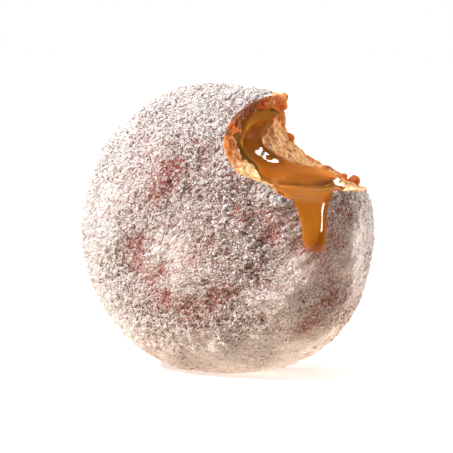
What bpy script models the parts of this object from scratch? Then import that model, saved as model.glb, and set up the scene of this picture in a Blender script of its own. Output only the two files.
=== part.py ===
"""A round doughnut filled with dulce de leche, bitten once at its upper right.

It stands on its edge: X runs across the face, Y through the thickness with the shown face at -Y,
and Z up. Its rim is pressed flat where it stands, and the origin is the middle of that flat.

Both solids are worked out along meridians, which are half planes through AXIS. AXIS runs from
HEART, in the dough, to MOUTH, in the empty space of the bite. The dough's crust is a single sheet
seen from HEART and the bite is a single sheet seen from MOUTH, and they meet at the lip. A place on
a meridian is its length from the lip: positive over the crust and negative into the bite.
"""

import bmesh
import bpy
import numpy as np

MM = 0.001

# The whole doughnut
WIDTH = 90 * MM
THICKNESS = 58 * MM
SQUARENESS = 2.4  # how full the section is between face and rim: 2 is an ellipse
SINK = 2.4 * MM  # what the rim has lost to the flat it stands on
FLAT_EDGE = 0.8 * MM  # rounding between that flat and the rim
RIM_BULGES = (  # direction round the face in degrees from +X, height in mm, spread in degrees
    (135, 1.4, 28),
    (330, 1.3, 28),
    (215, 0.9, 25),
    (275, -0.6, 14),
    (88, -0.7, 16),
)
LUMPS = (  # waves: height in mm, then radians per mm along X, Y and Z, and a phase
    (0.35, 0.11, 0.09, 0.05, 0.4),
    (0.30, -0.06, 0.09, 0.13, 1.9),
    (0.22, 0.17, 0.09, -0.12, 3.1),
)
SHOWN_FADE = 10 * MM  # the dents and folds below are on the shown face, and fade out towards the rim
FACE_RING = (-1, 2, 22.5, 3.0, 0.45)  # middle x, z, radius, spread and depth in mm of the dent
VALLEY = ((16.3, 15.4), (17.3, 11.1), (18.7, 1.0), (21.5, -2.5), (24.6, -5.4))  # x, z in mm
VALLEY_WIDTH = 3.4 * MM
VALLEY_DEPTH = 1.3 * MM
CREASE = ((-5.2, 44.3), (-0.8, 43.4), (4.6, 40.7), (8.3, 40.1))
CREASE_WIDTH = 2.2 * MM
CREASE_DEPTH = 0.9 * MM

# The bite: each tooth leaves a round channel through the thickness
TEETH = (  # x, z and radius at the front face, then the same at the back face, in mm from CENTRE
    (17.8, 31, 12, 22, 31.6, 10),
    (21, 28.5, 11, 25, 29.5, 10.5),
    (30, 23.5, 11.5, 30.5, 27.5, 10.5),
    (41, 26.4, 11.2, 39, 24.2, 11.6),
    (31, 34, 13.5, 33, 36, 13.5),
)
TEETH_FRONT = -25 * MM
TEETH_BACK = 24 * MM
TOOTH_BLEND = 2 * MM

# The filling
SHORE = (  # degrees round AXIS, and how far into the bite the filling's edge lies there, in mm
    (0, 6.2), (18, 6.2), (32, 7.4), (46, 7.6), (56, 4.2), (63, 4.2), (74, 8.2), (89, 7.9),
    (94, 9.7), (99, 6.5), (103, 0.7), (135, 0.5), (146, 1), (153, 3), (165, 6.2), (190, 8),
    (215, 6.6), (232, 4.6), (238, 5.6), (247, 16.5), (258, 18), (292, 18.6), (307, 18.2), (324, 5.3),
    (345, 6.2),
)
BRINK = (  # the same for the pocket's opening: between the two, filling lies on crumb
    (0, 8.5), (45, 9), (60, 7.5), (75, 10.5), (95, 12), (109, 4), (140, 4), (165, 8.2), (190, 10),
    (220, 9.6), (250, 19.3), (302, 19.8), (334, 9),
)
FILM = 0.7 * MM  # thickness of the filling's edge
FILM_EDGE = 0.5 * MM
FILM_REACH = 3 * MM
CAVE = 3 * MM  # how far the filling has sunk back from the bite above the pool
CAVE_REACH = 3 * MM
BRINK_MARGIN = 0.8 * MM  # filling that stands full past the opening's edge
POOL_HEIGHT = 16.1 * MM  # above CENTRE, at POOL_X
POOL_X = 25 * MM
POOL_SLOPE = (-0.175, 0.084)  # rise per length along X and Y: it runs to the right and the front
POOL_BLEND = 2.5 * MM
LEAST_DOWN = 1e-3  # a line of sight flatter than this against the pool never meets it
WALL = 11 * MM  # dough between the pocket and the crust
ROOF = 5 * MM  # dough between the pocket and the bite
POCKET_BLEND = 4 * MM
SHOULDER = 4.5 * MM  # thickness of the crumb round the pocket's opening
NECK = 0.35  # radians over which the pocket widens from there
GAP = 0.45 * MM  # between the dough and the filling

# The drip over the front lip
DRIP_LENGTH = 20.8 * MM
DRIP_ROOT = -5 * MM
DRIP_AZIMUTH = 131.2  # degrees round AXIS, at the lip
DRIP_SWING = 0.53  # degrees for each mm below the lip
DRIP_HALF = 3.6  # half its width in degrees, below the flare
DRIP_FLARE = 8.6  # what the lip adds to that
DRIP_FLARE_LENGTH = 4.5 * MM
DRIP_TIP = 4.6 * MM  # length of the rounded end
DRIP_THIN = 1.7 * MM  # thickness at the lip
DRIP_SUNK = 0.4  # share of that at the root, which lies in the pool
DRIP_THICK = 3.7 * MM  # thickness near the tip
LIP_ROUND = 3 * MM  # length over which the drip turns over the lip
LIP_LIFT = 0.5 * MM  # how much farther its underside stands off the dough at the lip

# Colours and roughness
SUGARED_CRUST = (0.80, 0.62, 0.50)
SUGARED_ROUGHNESS = 0.85
CARAMEL = (0.62, 0.25, 0.045)
CARAMEL_ROUGHNESS = 0.12

# Facets
COLUMNS = 96
CRUST_ROWS = 24
POCKET_ROWS = 9
POCKET_CROWDING = 1.4  # above 1, the rows lie closer near the opening
TOP_ROWS = 14
RING_ROWS = 2
DRIP_ROWS = 12
TIP_ROWS = 4
DRIP_COLUMNS = 14
BITE_SAMPLES = 60
CRUST_SAMPLES = 90
HALVINGS = 36
FARTHEST = 80 * MM
FEELER = 0.05 * MM  # step over which a field's slope is felt


def unit(vectors):
    return vectors / np.linalg.norm(vectors, axis=-1, keepdims=True)


CENTRE = np.array((0, 0, WIDTH / 2 - SINK))
HEART = CENTRE + np.array((-15, 0, 7)) * MM
MOUTH = CENTRE + np.array((24, 0, 28.5)) * MM
AXIS = unit(MOUTH - HEART)
RISE = np.array((-AXIS[2], 0, AXIS[0]))
FRONT = np.array((0, -1.0, 0))


def soft_min(a, b, blend):
    """The smaller of two values, rounded where they come within blend of each other."""
    near = np.maximum(blend - np.abs(a - b), 0)
    return np.minimum(a, b) - near * near / (4 * blend)


def soft_max(a, b, blend):
    return -soft_min(-a, -b, blend)


def ease(share):
    share = np.clip(share, 0, 1)
    return share * share * (3 - 2 * share)


def round_the_axis(around, stations):
    """Values given at some azimuths, eased from each to the next, all the way round."""
    places, values = np.array(stations, float).T
    places = np.append(places, places[0] + 360)
    values = np.append(values, values[0])
    degrees = np.degrees(around) % 360
    after = np.clip(np.searchsorted(places, degrees, side="right"), 1, len(places) - 1)
    share = (degrees - places[after - 1]) / (places[after] - places[after - 1])
    return values[after - 1] + (values[after] - values[after - 1]) * ease(share)


def first_zero(field, shape, farthest=FARTHEST):
    """Where a field along each ray turns from below zero to above it, by halving."""
    low = np.zeros(shape)
    high = np.full(shape, farthest)
    for _ in range(HALVINGS):
        middle = (low + high) / 2
        below = field(middle) < 0
        low = np.where(below, middle, low)
        high = np.where(below, high, middle)
    return (low + high) / 2


def off_line(x, z, line):
    """Distance across the face to a line through points given in mm."""
    nearest = np.full(np.shape(x), np.inf)
    for (x0, z0), (x1, z1) in zip(line[:-1], line[1:]):
        start = np.array((x0, z0)) * MM
        run = np.array((x1, z1)) * MM - start
        share = np.clip(((x - start[0]) * run[0] + (z - start[1]) * run[1]) / (run @ run), 0, 1)
        away = np.hypot(x - start[0] - share * run[0], z - start[1] - share * run[1])
        nearest = np.minimum(nearest, away)
    return nearest


def relief(place):
    """Height of the slow lumps, dents and folds of the crust, at places measured from CENTRE."""
    x, y, z = np.moveaxis(place, -1, 0)
    height = np.zeros_like(x)
    for tall, across, through, up, phase in LUMPS:
        height = height + tall * MM * np.sin((across * x + through * y + up * z) / MM + phase)
    ring_x, ring_z, radius, spread, depth = FACE_RING
    from_ring = np.hypot(x - ring_x * MM, z - ring_z * MM) - radius * MM
    shown = ease(-y / SHOWN_FADE)
    height = height - shown * depth * MM * np.exp(-((from_ring / (spread * MM)) ** 2))
    valley = np.exp(-((off_line(x, z, VALLEY) / VALLEY_WIDTH) ** 2))
    crease = np.exp(-((off_line(x, z, CREASE) / CREASE_WIDTH) ** 2))
    return height - shown * (VALLEY_DEPTH * valley + CREASE_DEPTH * crease)


def body_field(points, inset=0.0):
    """Below zero inside the whole doughnut: a superellipse of revolution about Y, with a bulging rim."""
    place = points - CENTRE
    direction = np.degrees(np.arctan2(place[..., 2], place[..., 0]))
    rim = WIDTH / 2 - inset
    for middle, height, spread in RIM_BULGES:
        off = (direction - middle + 180) % 360 - 180
        rim = rim + height * MM * np.exp(-((off / spread) ** 2))
    out = np.hypot(place[..., 0], place[..., 2]) / rim
    through = np.abs(place[..., 1]) / (THICKNESS / 2 - inset)
    full = (out**SQUARENESS + through**SQUARENESS) ** (1 / SQUARENESS)
    return (full - 1) * WIDTH / 2 - relief(place)


def bite_field(points):
    """Below zero inside the bite: the distance outside the nearest tooth's channel."""
    place = points - CENTRE
    share = (place[..., 1] - TEETH_FRONT) / (TEETH_BACK - TEETH_FRONT)
    outside = None
    for tooth in TEETH:
        front, back = np.array(tooth[:3]) * MM, np.array(tooth[3:]) * MM
        x, z, radius = np.moveaxis(front + (back - front) * share[..., None], -1, 0)
        off = np.hypot(place[..., 0] - x, place[..., 2] - z) - radius
        outside = off if outside is None else soft_min(outside, off, TOOTH_BLEND)
    return outside


def heading(turn, around):
    """Directions at an angle from AXIS, in the half plane at an azimuth from RISE towards FRONT."""
    turn, around = np.broadcast_arrays(turn, around)
    side = np.cos(around)[..., None] * RISE + np.sin(around)[..., None] * FRONT
    return np.cos(turn)[..., None] * AXIS + np.sin(turn)[..., None] * side


def crust_point(turn, around):
    way = heading(turn, around)
    reach = first_zero(lambda r: body_field(HEART + way * r[..., None]), way.shape[:-1])
    return HEART + way * reach[..., None]


def bite_point(turn, around):
    """A point of the bite, at an angle from the direction that looks back from MOUTH to HEART."""
    way = heading(np.pi - turn, around)
    reach = first_zero(lambda r: bite_field(MOUTH + way * r[..., None]), way.shape[:-1])
    return MOUTH + way * reach[..., None]


def off_axis(points, origin, axis):
    way = unit(points - origin)
    return np.arccos(np.clip(way @ axis, -1, 1))


def meridians(around):
    """The dough's surface at each azimuth, from the bite's deepest point over the lip and the crust
    to the far pole, with the length of each sample from the lip."""
    lip_turn = first_zero(lambda t: bite_field(crust_point(t, around)), around.shape, np.pi)
    lip_in_bite = off_axis(crust_point(lip_turn, around), MOUTH, -AXIS)
    share = np.linspace(0, 1, BITE_SAMPLES)
    bite = bite_point(lip_in_bite[:, None] * share, around[:, None])
    share = np.linspace(0, 1, CRUST_SAMPLES)[1:]
    crust = crust_point(lip_turn[:, None] + (np.pi - lip_turn[:, None]) * share, around[:, None])
    curve = np.concatenate([bite, crust], axis=1)
    steps = np.linalg.norm(np.diff(curve, axis=1), axis=-1)
    length = np.concatenate([np.zeros((len(around), 1)), np.cumsum(steps, axis=1)], axis=1)
    return curve, length - length[:, BITE_SAMPLES - 1 : BITE_SAMPLES]


def along(curve, length, wanted):
    """The points at the wanted lengths of each meridian."""
    below = (length[:, None, :] <= wanted[:, :, None]).sum(-1) - 1
    below = np.clip(below, 0, length.shape[1] - 2)
    start = np.take_along_axis(length, below, 1)
    end = np.take_along_axis(length, below + 1, 1)
    share = ((wanted - start) / (end - start))[..., None]
    here = np.take_along_axis(curve, below[..., None], 1)
    there = np.take_along_axis(curve, below[..., None] + 1, 1)
    return here + (there - here) * share


def uphill(field, points):
    """The direction in which a field grows fastest."""
    shifts = np.eye(3) * FEELER
    return unit(np.stack([field(points + d) - field(points - d) for d in shifts], axis=-1))


def facing(points, length):
    """Out of the dough: away from the crust, into the bite, and turning smoothly over the lip."""
    over = ease((length + LIP_ROUND) / (2 * LIP_ROUND))[..., None]
    return unit(over * uphill(body_field, points) - (1 - over) * uphill(bite_field, points))


def off_channel(points):
    """Away from the line through MOUTH along the thickness, which is how the bite's channel lies."""
    return unit((points - MOUTH) * (1, 0, 1))


def shore(around):
    """How far into the bite the filling's edge lies."""
    return round_the_axis(around, SHORE) * MM


def brink(around):
    """How far into the bite the pocket opens."""
    return round_the_axis(around, BRINK) * MM


def pocket_rows(curve, length, around):
    """The skin between dough and filling: from the filling's edge under it to the pocket's opening,
    into the dough as the crumb's inner side, then the pocket's wall seen from HEART."""
    edge, opening = shore(around), brink(around)
    ledge = along(curve, length, -np.stack([edge, (edge + opening) / 2, opening], axis=1))
    shoulder = ledge[:, -1] + off_channel(ledge[:, -1]) * SHOULDER
    shoulder_turn = off_axis(shoulder, HEART, AXIS)[:, None]
    shoulder_reach = np.linalg.norm(shoulder - HEART, axis=-1)[:, None]
    shares = (np.arange(1, POCKET_ROWS + 1) / POCKET_ROWS) ** POCKET_CROWDING
    turn = shoulder_turn + (np.pi - shoulder_turn) * shares
    way = heading(turn, around[:, None])

    def field(reach):
        points = HEART + way * reach[..., None]
        return soft_max(body_field(points, WALL), ROOF - bite_field(points), POCKET_BLEND)

    wide = first_zero(field, turn.shape)
    open_out = ease((turn - shoulder_turn) / NECK)
    reach = shoulder_reach + (wide - shoulder_reach) * open_out
    wall = HEART + way * reach[..., None]
    return np.concatenate([ledge, shoulder[:, None], wall], axis=1)


def lifted(rows, height):
    """A skin moved off itself, out of the dough; its last row is one point, seen from all round."""
    down = unit(np.diff(rows, axis=1))
    down = np.concatenate([down[:, :1], down[:, 1:] + down[:, :-1]], axis=1)
    following = np.roll(rows, -1, axis=0)
    before = np.roll(rows, 1, axis=0)
    across = unit(following - rows)[:, :-1] + unit(rows - before)[:, :-1]
    off = unit(np.cross(across, down))
    pole = np.broadcast_to(unit(off[:, -1].mean(axis=0)), rows[:, -1:].shape)
    return rows + np.concatenate([off, pole], axis=1) * height


def filling_top(curve, length, around, shares):
    """The filling's open surface: its edge lies on the crumb, then it has sunk into the cave or
    stands level as the pool, whichever is nearer to MOUTH."""
    deepest = length[:, :1]
    edge = -shore(around)[:, None]
    wanted = deepest + (edge - deepest) * shares
    inward = edge - wanted
    on_crumb = (brink(around) - shore(around))[:, None] + BRINK_MARGIN
    past_brink = np.maximum(inward - on_crumb, 0)
    cave = CAVE * (1 - np.exp(-((past_brink / CAVE_REACH) ** 2)))
    film = FILM * (1 - np.exp(-inward / FILM_EDGE)) * np.exp(-past_brink / FILM_REACH)
    skin = along(curve, length, wanted)
    sunk = skin + facing(skin, wanted) * (GAP + film)[..., None] + off_channel(skin) * cave[..., None]
    way = unit(sunk - MOUTH)
    level = np.array((-POOL_SLOPE[0], -POOL_SLOPE[1], 1))
    pool_middle = CENTRE + np.array((POOL_X, 0, POOL_HEIGHT))
    down = np.minimum(way @ level, -LEAST_DOWN)
    pool = np.minimum(((pool_middle - MOUTH) @ level) / down, FARTHEST)
    reach = soft_min(np.linalg.norm(sunk - MOUTH, axis=-1), pool, POOL_BLEND)
    return MOUTH + way * reach[..., None]


def drip_rows():
    """A tongue from the pool over the lip and down the crust. Its section is a half ellipse on the
    surface that it runs over, and both its width and its height close in a round end."""
    straight = np.linspace(DRIP_ROOT, DRIP_LENGTH - DRIP_TIP, DRIP_ROWS)
    bend = np.sin(np.linspace(0, np.pi / 2, TIP_ROWS + 2)[1:-1])
    down = np.concatenate([straight, DRIP_LENGTH - DRIP_TIP + DRIP_TIP * bend])
    section = np.linspace(0, 2 * np.pi, DRIP_COLUMNS, endpoint=False)
    below_lip = np.maximum(down, 0)
    tip = np.clip((down - DRIP_LENGTH + DRIP_TIP) / DRIP_TIP, 0, 1)
    closing = np.sqrt(1 - tip**2)
    half = (DRIP_HALF + DRIP_FLARE * np.exp(-below_lip / DRIP_FLARE_LENGTH)) * closing
    middle = DRIP_AZIMUTH + DRIP_SWING * below_lip / MM
    thick = DRIP_THIN + (DRIP_THICK - DRIP_THIN) * ease(below_lip / (DRIP_LENGTH - DRIP_TIP))
    rise = DRIP_SUNK + (1 - DRIP_SUNK) * ease((down - DRIP_ROOT) / -DRIP_ROOT)
    around = np.radians(middle[:, None] + half[:, None] * np.cos(section))
    lift = GAP + LIP_LIFT * np.exp(-below_lip / DRIP_FLARE_LENGTH)
    height = lift[:, None] + (thick * closing * rise)[:, None] * np.maximum(np.sin(section), 0)
    lengths = np.broadcast_to(down[:, None], around.shape)
    curve, length = meridians(around.ravel())
    base = along(curve, length, lengths.reshape(-1, 1)).reshape(*around.shape, 3)
    points = base + facing(base, lengths) * height[..., None]
    end_around = np.radians([DRIP_AZIMUTH + DRIP_SWING * DRIP_LENGTH / MM])
    curve, length = meridians(end_around)
    end = along(curve, length, np.array([[DRIP_LENGTH]]))[0, 0]
    end = end + uphill(body_field, end) * lift[-1]
    return points[0].mean(axis=0), points, end


def closed_mesh(name, first, rows, last):
    """A closed skin of rows that run round, shut by one point at each end. Each four-sided facet is
    split from its start to its far corner, so two skins that follow each other stay parallel."""
    count, around = rows.shape[:2]
    points = np.concatenate([first[None], rows.reshape(-1, 3), last[None]])
    row = np.arange(count - 1)[:, None] * around + 1
    column = np.arange(around)
    following = (column + 1) % around
    start, beside = row + column, row + following
    below, across = start + around, beside + around
    halves = np.stack([start, beside, across, start, across, below], axis=-1).reshape(-1, 3)
    top = 1 + (count - 1) * around
    opening = np.stack([np.zeros_like(column), 1 + following, 1 + column], axis=-1)
    closing = np.stack([np.full_like(column, len(points) - 1), top + column, top + following], axis=-1)
    mesh = bpy.data.meshes.new(name)
    mesh.from_pydata(points.tolist(), [], np.concatenate([opening, halves, closing]).tolist())
    skin = bmesh.new()
    skin.from_mesh(mesh)
    if skin.calc_volume(signed=True) < 0:
        bmesh.ops.reverse_faces(skin, faces=skin.faces)
    skin.to_mesh(mesh)
    skin.free()
    mesh.shade_smooth()
    solid = bpy.data.objects.new(name, mesh)
    bpy.context.collection.objects.link(solid)
    return solid


def finish(solid, colour, roughness):
    material = bpy.data.materials.new(solid.name)
    material.use_nodes = True
    shader = material.node_tree.nodes["Principled BSDF"]
    shader.inputs["Base Color"].default_value = (*colour, 1)
    shader.inputs["Roughness"].default_value = roughness
    shader.inputs["Metallic"].default_value = 0.0
    solid.data.materials.append(material)


def fuse(solid, lumps):
    """Joins lumps to a solid as one skin, and removes them."""
    together = bpy.data.collections.new("lumps")
    for lump in lumps:
        together.objects.link(lump)
    join = solid.modifiers.new("join", "BOOLEAN")
    join.operation = "UNION"
    join.operand_type = "COLLECTION"
    join.collection = together
    evaluated = solid.evaluated_get(bpy.context.evaluated_depsgraph_get())
    fused = bpy.data.meshes.new_from_object(evaluated)
    solid.modifiers.clear()
    solid.data = fused
    for lump in lumps:
        bpy.data.objects.remove(lump)
    bpy.data.collections.remove(together)


def stand(points):
    """Presses what would reach below the surface that the doughnut stands on flat."""
    pressed = points.copy()
    pressed[..., 2] = soft_max(points[..., 2], 0.0, FLAT_EDGE)
    return pressed


def make_dough(curve, length, around):
    """Fried dough: the crust from its far pole to the lip, the bitten ring of crumb, and the pocket."""
    far_pole = curve[:, -1].mean(axis=0)
    crust_shares = np.linspace(1, 0, CRUST_ROWS + 1)[1:]
    crust = stand(along(curve, length, length[:, -1:] * crust_shares))
    ring_shares = np.linspace(0, 1, RING_ROWS + 2)[1:-1]
    ring = along(curve, length, -shore(around)[:, None] * ring_shares)
    pocket = pocket_rows(curve, length, around)
    inner_pole = pocket[:, -1].mean(axis=0)
    rows = np.concatenate([crust, ring, pocket[:, :-1]], axis=1)
    dough = closed_mesh("dough", far_pole, np.swapaxes(rows, 0, 1), inner_pole)
    finish(dough, SUGARED_CRUST, SUGARED_ROUGHNESS)


def make_filling(curve, length, around):
    """Dulce de leche: one body that fills the pocket, stands as a pool in the bite, coats the cave
    above it, and runs over the front lip as a drip."""
    top = filling_top(curve, length, around, np.linspace(0, 1, TOP_ROWS + 1))
    deepest = top[:, 0].mean(axis=0)
    under = lifted(pocket_rows(curve, length, around), GAP)
    inner_pole = under[:, -1].mean(axis=0)
    rows = np.concatenate([top[:, 1:], under[:, 1:-1]], axis=1)
    filling = closed_mesh("dulce_de_leche", deepest, np.swapaxes(rows, 0, 1), inner_pole)
    finish(filling, CARAMEL, CARAMEL_ROUGHNESS)
    fuse(filling, [closed_mesh("drip", *drip_rows())])


def main():
    for thing in list(bpy.data.objects):
        bpy.data.objects.remove(thing)
    around = np.linspace(0, 2 * np.pi, COLUMNS, endpoint=False)
    curve, length = meridians(around)
    make_dough(curve, length, around)
    make_filling(curve, length, around)


main()
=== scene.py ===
"""A round doughnut coated in sugar, bitten once, with dulce de leche running out over the front lip.

X runs across the shown face, Y through the thickness with the shown face at -Y, and Z up. The
origin is the middle of the spot on the rim that it stands on.

Every surface is worked out along meridians, half planes through AXIS, which runs from HEART, in the
dough, to MOUTH, in the empty space of the bite. The crust is seen from HEART and the bite is seen
from MOUTH, and they meet at the lip. A place on a meridian is its length from the lip: positive
over the crust and negative into the bite.
"""

import bpy
import numpy as np
from bpy.props import FloatProperty, FloatVectorProperty, IntProperty, PointerProperty
from mathutils import Matrix, Vector


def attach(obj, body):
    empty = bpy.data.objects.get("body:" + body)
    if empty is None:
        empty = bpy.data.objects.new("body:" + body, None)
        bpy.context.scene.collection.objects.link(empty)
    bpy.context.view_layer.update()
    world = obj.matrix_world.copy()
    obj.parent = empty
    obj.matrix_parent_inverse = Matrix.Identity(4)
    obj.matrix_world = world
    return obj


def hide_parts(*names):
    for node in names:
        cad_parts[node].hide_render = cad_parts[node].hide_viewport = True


bl_info = {
    "name": "Bitten filled doughnut",
    "version": (1, 0, 0),
    "blender": (4, 5, 0),
    "location": "View3D > Sidebar > Doughnut",
    "description": "Sugared crust, crumb, dulce de leche, sugar grains and a pale studio",
    "category": "Object",
}

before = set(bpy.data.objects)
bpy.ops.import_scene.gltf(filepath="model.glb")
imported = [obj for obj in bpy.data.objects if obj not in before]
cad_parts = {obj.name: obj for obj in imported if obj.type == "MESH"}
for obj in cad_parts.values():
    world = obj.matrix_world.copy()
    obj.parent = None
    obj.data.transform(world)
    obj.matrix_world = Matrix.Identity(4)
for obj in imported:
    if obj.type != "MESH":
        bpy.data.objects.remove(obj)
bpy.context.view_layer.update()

MM = 0.001

# The whole doughnut, as its solids are
WIDTH = 90 * MM
THICKNESS = 58 * MM
SQUARENESS = 2.4  # the superellipse's power
SINK = 2.4 * MM  # how far the rim is pressed in where it stands
FLAT_EDGE = 0.8 * MM  # over which the pressed spot turns into the rim
RIM_BULGES = (  # direction round the face in degrees from +X, height in mm, spread in degrees
    (135, 1.4, 28),
    (330, 1.3, 28),
    (215, 0.9, 25),
    (275, -0.6, 14),
    (88, -0.7, 16),
)
LUMPS = (  # waves: height in mm, then radians per mm along X, Y and Z, and a phase
    (0.35, 0.11, 0.09, 0.05, 0.4),
    (0.30, -0.06, 0.09, 0.13, 1.9),
    (0.22, 0.17, 0.09, -0.12, 3.1),
)
SHOWN_FADE = 10 * MM  # from the middle plane to where the marks of the shown face are whole
FACE_RING = (-1, 2, 22.5, 3.0, 0.45)  # middle x, z, radius, spread and depth in mm of the dent
VALLEY = ((16.3, 15.4), (17.3, 11.1), (18.7, 1.0), (21.5, -2.5), (24.6, -5.4))  # x, z in mm
VALLEY_WIDTH = 3.4 * MM
VALLEY_DEPTH = 1.3 * MM
CREASE = ((-5.2, 44.3), (-0.8, 43.4), (4.6, 40.7), (8.3, 40.1))  # the same, of a fold along the top
CREASE_WIDTH = 2.2 * MM
CREASE_DEPTH = 0.9 * MM

# The bite: x, z and radius of each tooth's channel at the front, then at the back, in mm
TEETH = (
    (17.8, 31, 12, 22, 31.6, 10),
    (21, 28.5, 11, 25, 29.5, 10.5),
    (30, 23.5, 11.5, 30.5, 27.5, 10.5),
    (41, 26.4, 11.2, 39, 24.2, 11.6),
    (31, 34, 13.5, 33, 36, 13.5),
)
TEETH_FRONT = -25 * MM
TEETH_BACK = 24 * MM
TOOTH_BLEND = 2 * MM

# The pocket that the filling lies in
BRINK = (  # degrees round AXIS, and mm from the lip at which the bite turns into the pocket
    (0, 8.5), (45, 9), (60, 7.5), (75, 10.5), (95, 12), (109, 4), (140, 4), (165, 8.2), (190, 10),
    (220, 9.6), (250, 19.3), (302, 19.8), (334, 9),
)
WALL = 11 * MM  # dough between the pocket and the crust
ROOF = 5 * MM  # dough between the pocket and the bite
POCKET_BLEND = 4 * MM
SHOULDER = 4.5 * MM  # how far the skin runs straight in at the brink
NECK = 0.35  # radians over which it opens out from there

# Where the filling ends on the bite: degrees round AXIS and mm from the lip, in order round it
SHORE = (
    (304, 1.0), (311, 5.5), (314, 9), (320, 12.2), (331, 15.4), (338, 17.5), (335, 19.2), (320, 18.9),
    (307, 19.0), (292, 19.0), (269, 18.6), (257, 18.0), (246, 16.6), (241, 13.0), (243, 9.3),
    (242, 5.1), (236, 4.2), (228, 5.6), (215, 7.5), (200, 8.6), (186, 8.4), (176, 5.6), (166, 4.2),
    (157, 2.8), (152, 1.2), (148, -0.8), (131, -1.6), (118, -1.2), (113, 0.6), (110, 1.6), (105, 1.8),
    (101, 4.4), (98, 7.5), (94, 9.9), (91, 9.6), (88, 7.9), (81, 8.4), (75, 8.3), (68, 6.3), (63, 4.8),
    (57, 4.7), (48, 8.6), (41, 7.9), (33, 7.6), (25, 6.6), (14, 6.3), (352, 6.3), (327, 4.9),
)
FILM = 0.4 * MM  # how thick the filling lies on the crumb round the cave
FILM_EDGE = 0.45 * MM  # over which it rises at its edge
FILM_REACH = 3.5 * MM  # over which it thins out into the cave
CAVE = 3.4 * MM  # how far it has sunk there
CAVE_REACH = 3 * MM
CAVE_MARGIN = 0.8 * MM
POOL_HEIGHT = 16.1 * MM  # above CENTRE, at POOL_X
POOL_X = 25 * MM
POOL_SLOPE = (-0.175, 0.084)  # rise of the pool along X and along Y
POOL_BLEND = 2.5 * MM
LEAST_DOWN = 1e-3  # least slope of a ray that is taken to meet the pool
GAP = 0.45 * MM  # how far the film stands out from the bite

# The drip over the front lip
DRIP_LENGTH = 21.0 * MM  # from the lip
DRIP_ROOT = -6 * MM  # where it starts, in the pool
DRIP_AZIMUTH = 131.2  # degrees round AXIS
DRIP_SWING = 0.63  # degrees that it turns aside on each mm
DRIP_HALF = 3.9  # half its width, in degrees
DRIP_FLARE = 9.6  # how much wider it is to each side at the lip, in degrees
DRIP_FLARE_LENGTH = 4.5 * MM
DRIP_TIP = 4.6 * MM  # the length of its round end
DRIP_THIN = 1.7 * MM  # its height at the lip
DRIP_THICK = 3.7 * MM  # its height at its end
DRIP_SUNK = 0.4  # the share of its height that it has at its root
LIP_ROUND = 3 * MM  # over which the way out of the dough turns at the lip
LIP_LIFT = 0.45 * MM  # how far the drip is raised over the lip

# The right end of the lip, which is pressed down
WORN_AZIMUTH = 192  # degrees round AXIS
WORN_SPREAD = 24
WORN = 1.4 * MM
WORN_REACH = 3.5 * MM

# Working out surfaces
HALVINGS = 30  # of the span in which a field's zero is looked for
BITE_SAMPLES = 60  # points of a meridian in the bite, then over the crust
CRUST_SAMPLES = 90
FARTHEST = 80 * MM
NEXT_TO_NOTHING = 0.02  # the share of a smoothing that is left out
FEELER = 0.05 * MM  # half the step over which a field's slope is taken


def unit(vectors):
    """Each vector divided by its length."""
    return vectors / np.linalg.norm(vectors, axis=-1, keepdims=True)


# Where the meridians are seen from, and the axis that they share with two directions across it
CENTRE = np.array((0, 0, WIDTH / 2 - SINK))
HEART = CENTRE + np.array((-15, 0, 7)) * MM
MOUTH = CENTRE + np.array((24, 0, 28.5)) * MM
AXIS = unit(MOUTH - HEART)
RISE = np.array((-AXIS[2], 0, AXIS[0]))
FRONT = np.array((0, -1.0, 0))


def soft_min(a, b, blend):
    """The smaller of two values, rounded where they come within blend of each other."""
    near = np.maximum(blend - np.abs(a - b), 0)
    return np.minimum(a, b) - near * near / (4 * blend)


def soft_max(a, b, blend):
    """The greater of two values, rounded in the same way."""
    return -soft_min(-a, -b, blend)


def ease(share):
    """0 below 0 and 1 above 1, with a smooth s-curve between."""
    share = np.clip(share, 0, 1)
    return share * share * (3 - 2 * share)


def round_the_axis(around, stations):
    """Values given at some azimuths, eased from each to the next, all the way round."""
    places, values = np.array(stations, float).T
    places = np.append(places, places[0] + 360)
    values = np.append(values, values[0])
    degrees = np.degrees(around) % 360
    after = np.clip(np.searchsorted(places, degrees, side="right"), 1, len(places) - 1)
    share = (degrees - places[after - 1]) / (places[after] - places[after - 1])
    return values[after - 1] + (values[after] - values[after - 1]) * ease(share)


def first_zero(field, shape, farthest=FARTHEST):
    """Where a field along each ray turns from below zero to above it, by halving."""
    low = np.zeros(shape)
    high = np.full(shape, farthest)
    for _ in range(HALVINGS):
        middle = (low + high) / 2
        below = field(middle) < 0
        low = np.where(below, middle, low)
        high = np.where(below, high, middle)
    return (low + high) / 2


def full_circle(count):
    """Azimuths spread evenly all the way round."""
    return np.linspace(0, 2 * np.pi, count, endpoint=False)


def from_centre(points):
    """Places in mm from CENTRE."""
    return (points - CENTRE) / MM


def off_line(x, z, line):
    """Distance across the face to a line through points given in mm."""
    nearest = np.full(np.shape(x), np.inf)
    for (x0, z0), (x1, z1) in zip(line[:-1], line[1:]):
        start = np.array((x0, z0)) * MM
        run = np.array((x1, z1)) * MM - start
        share = np.clip(((x - start[0]) * run[0] + (z - start[1]) * run[1]) / (run @ run), 0, 1)
        away = np.hypot(x - start[0] - share * run[0], z - start[1] - share * run[1])
        nearest = np.minimum(nearest, away)
    return nearest


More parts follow.
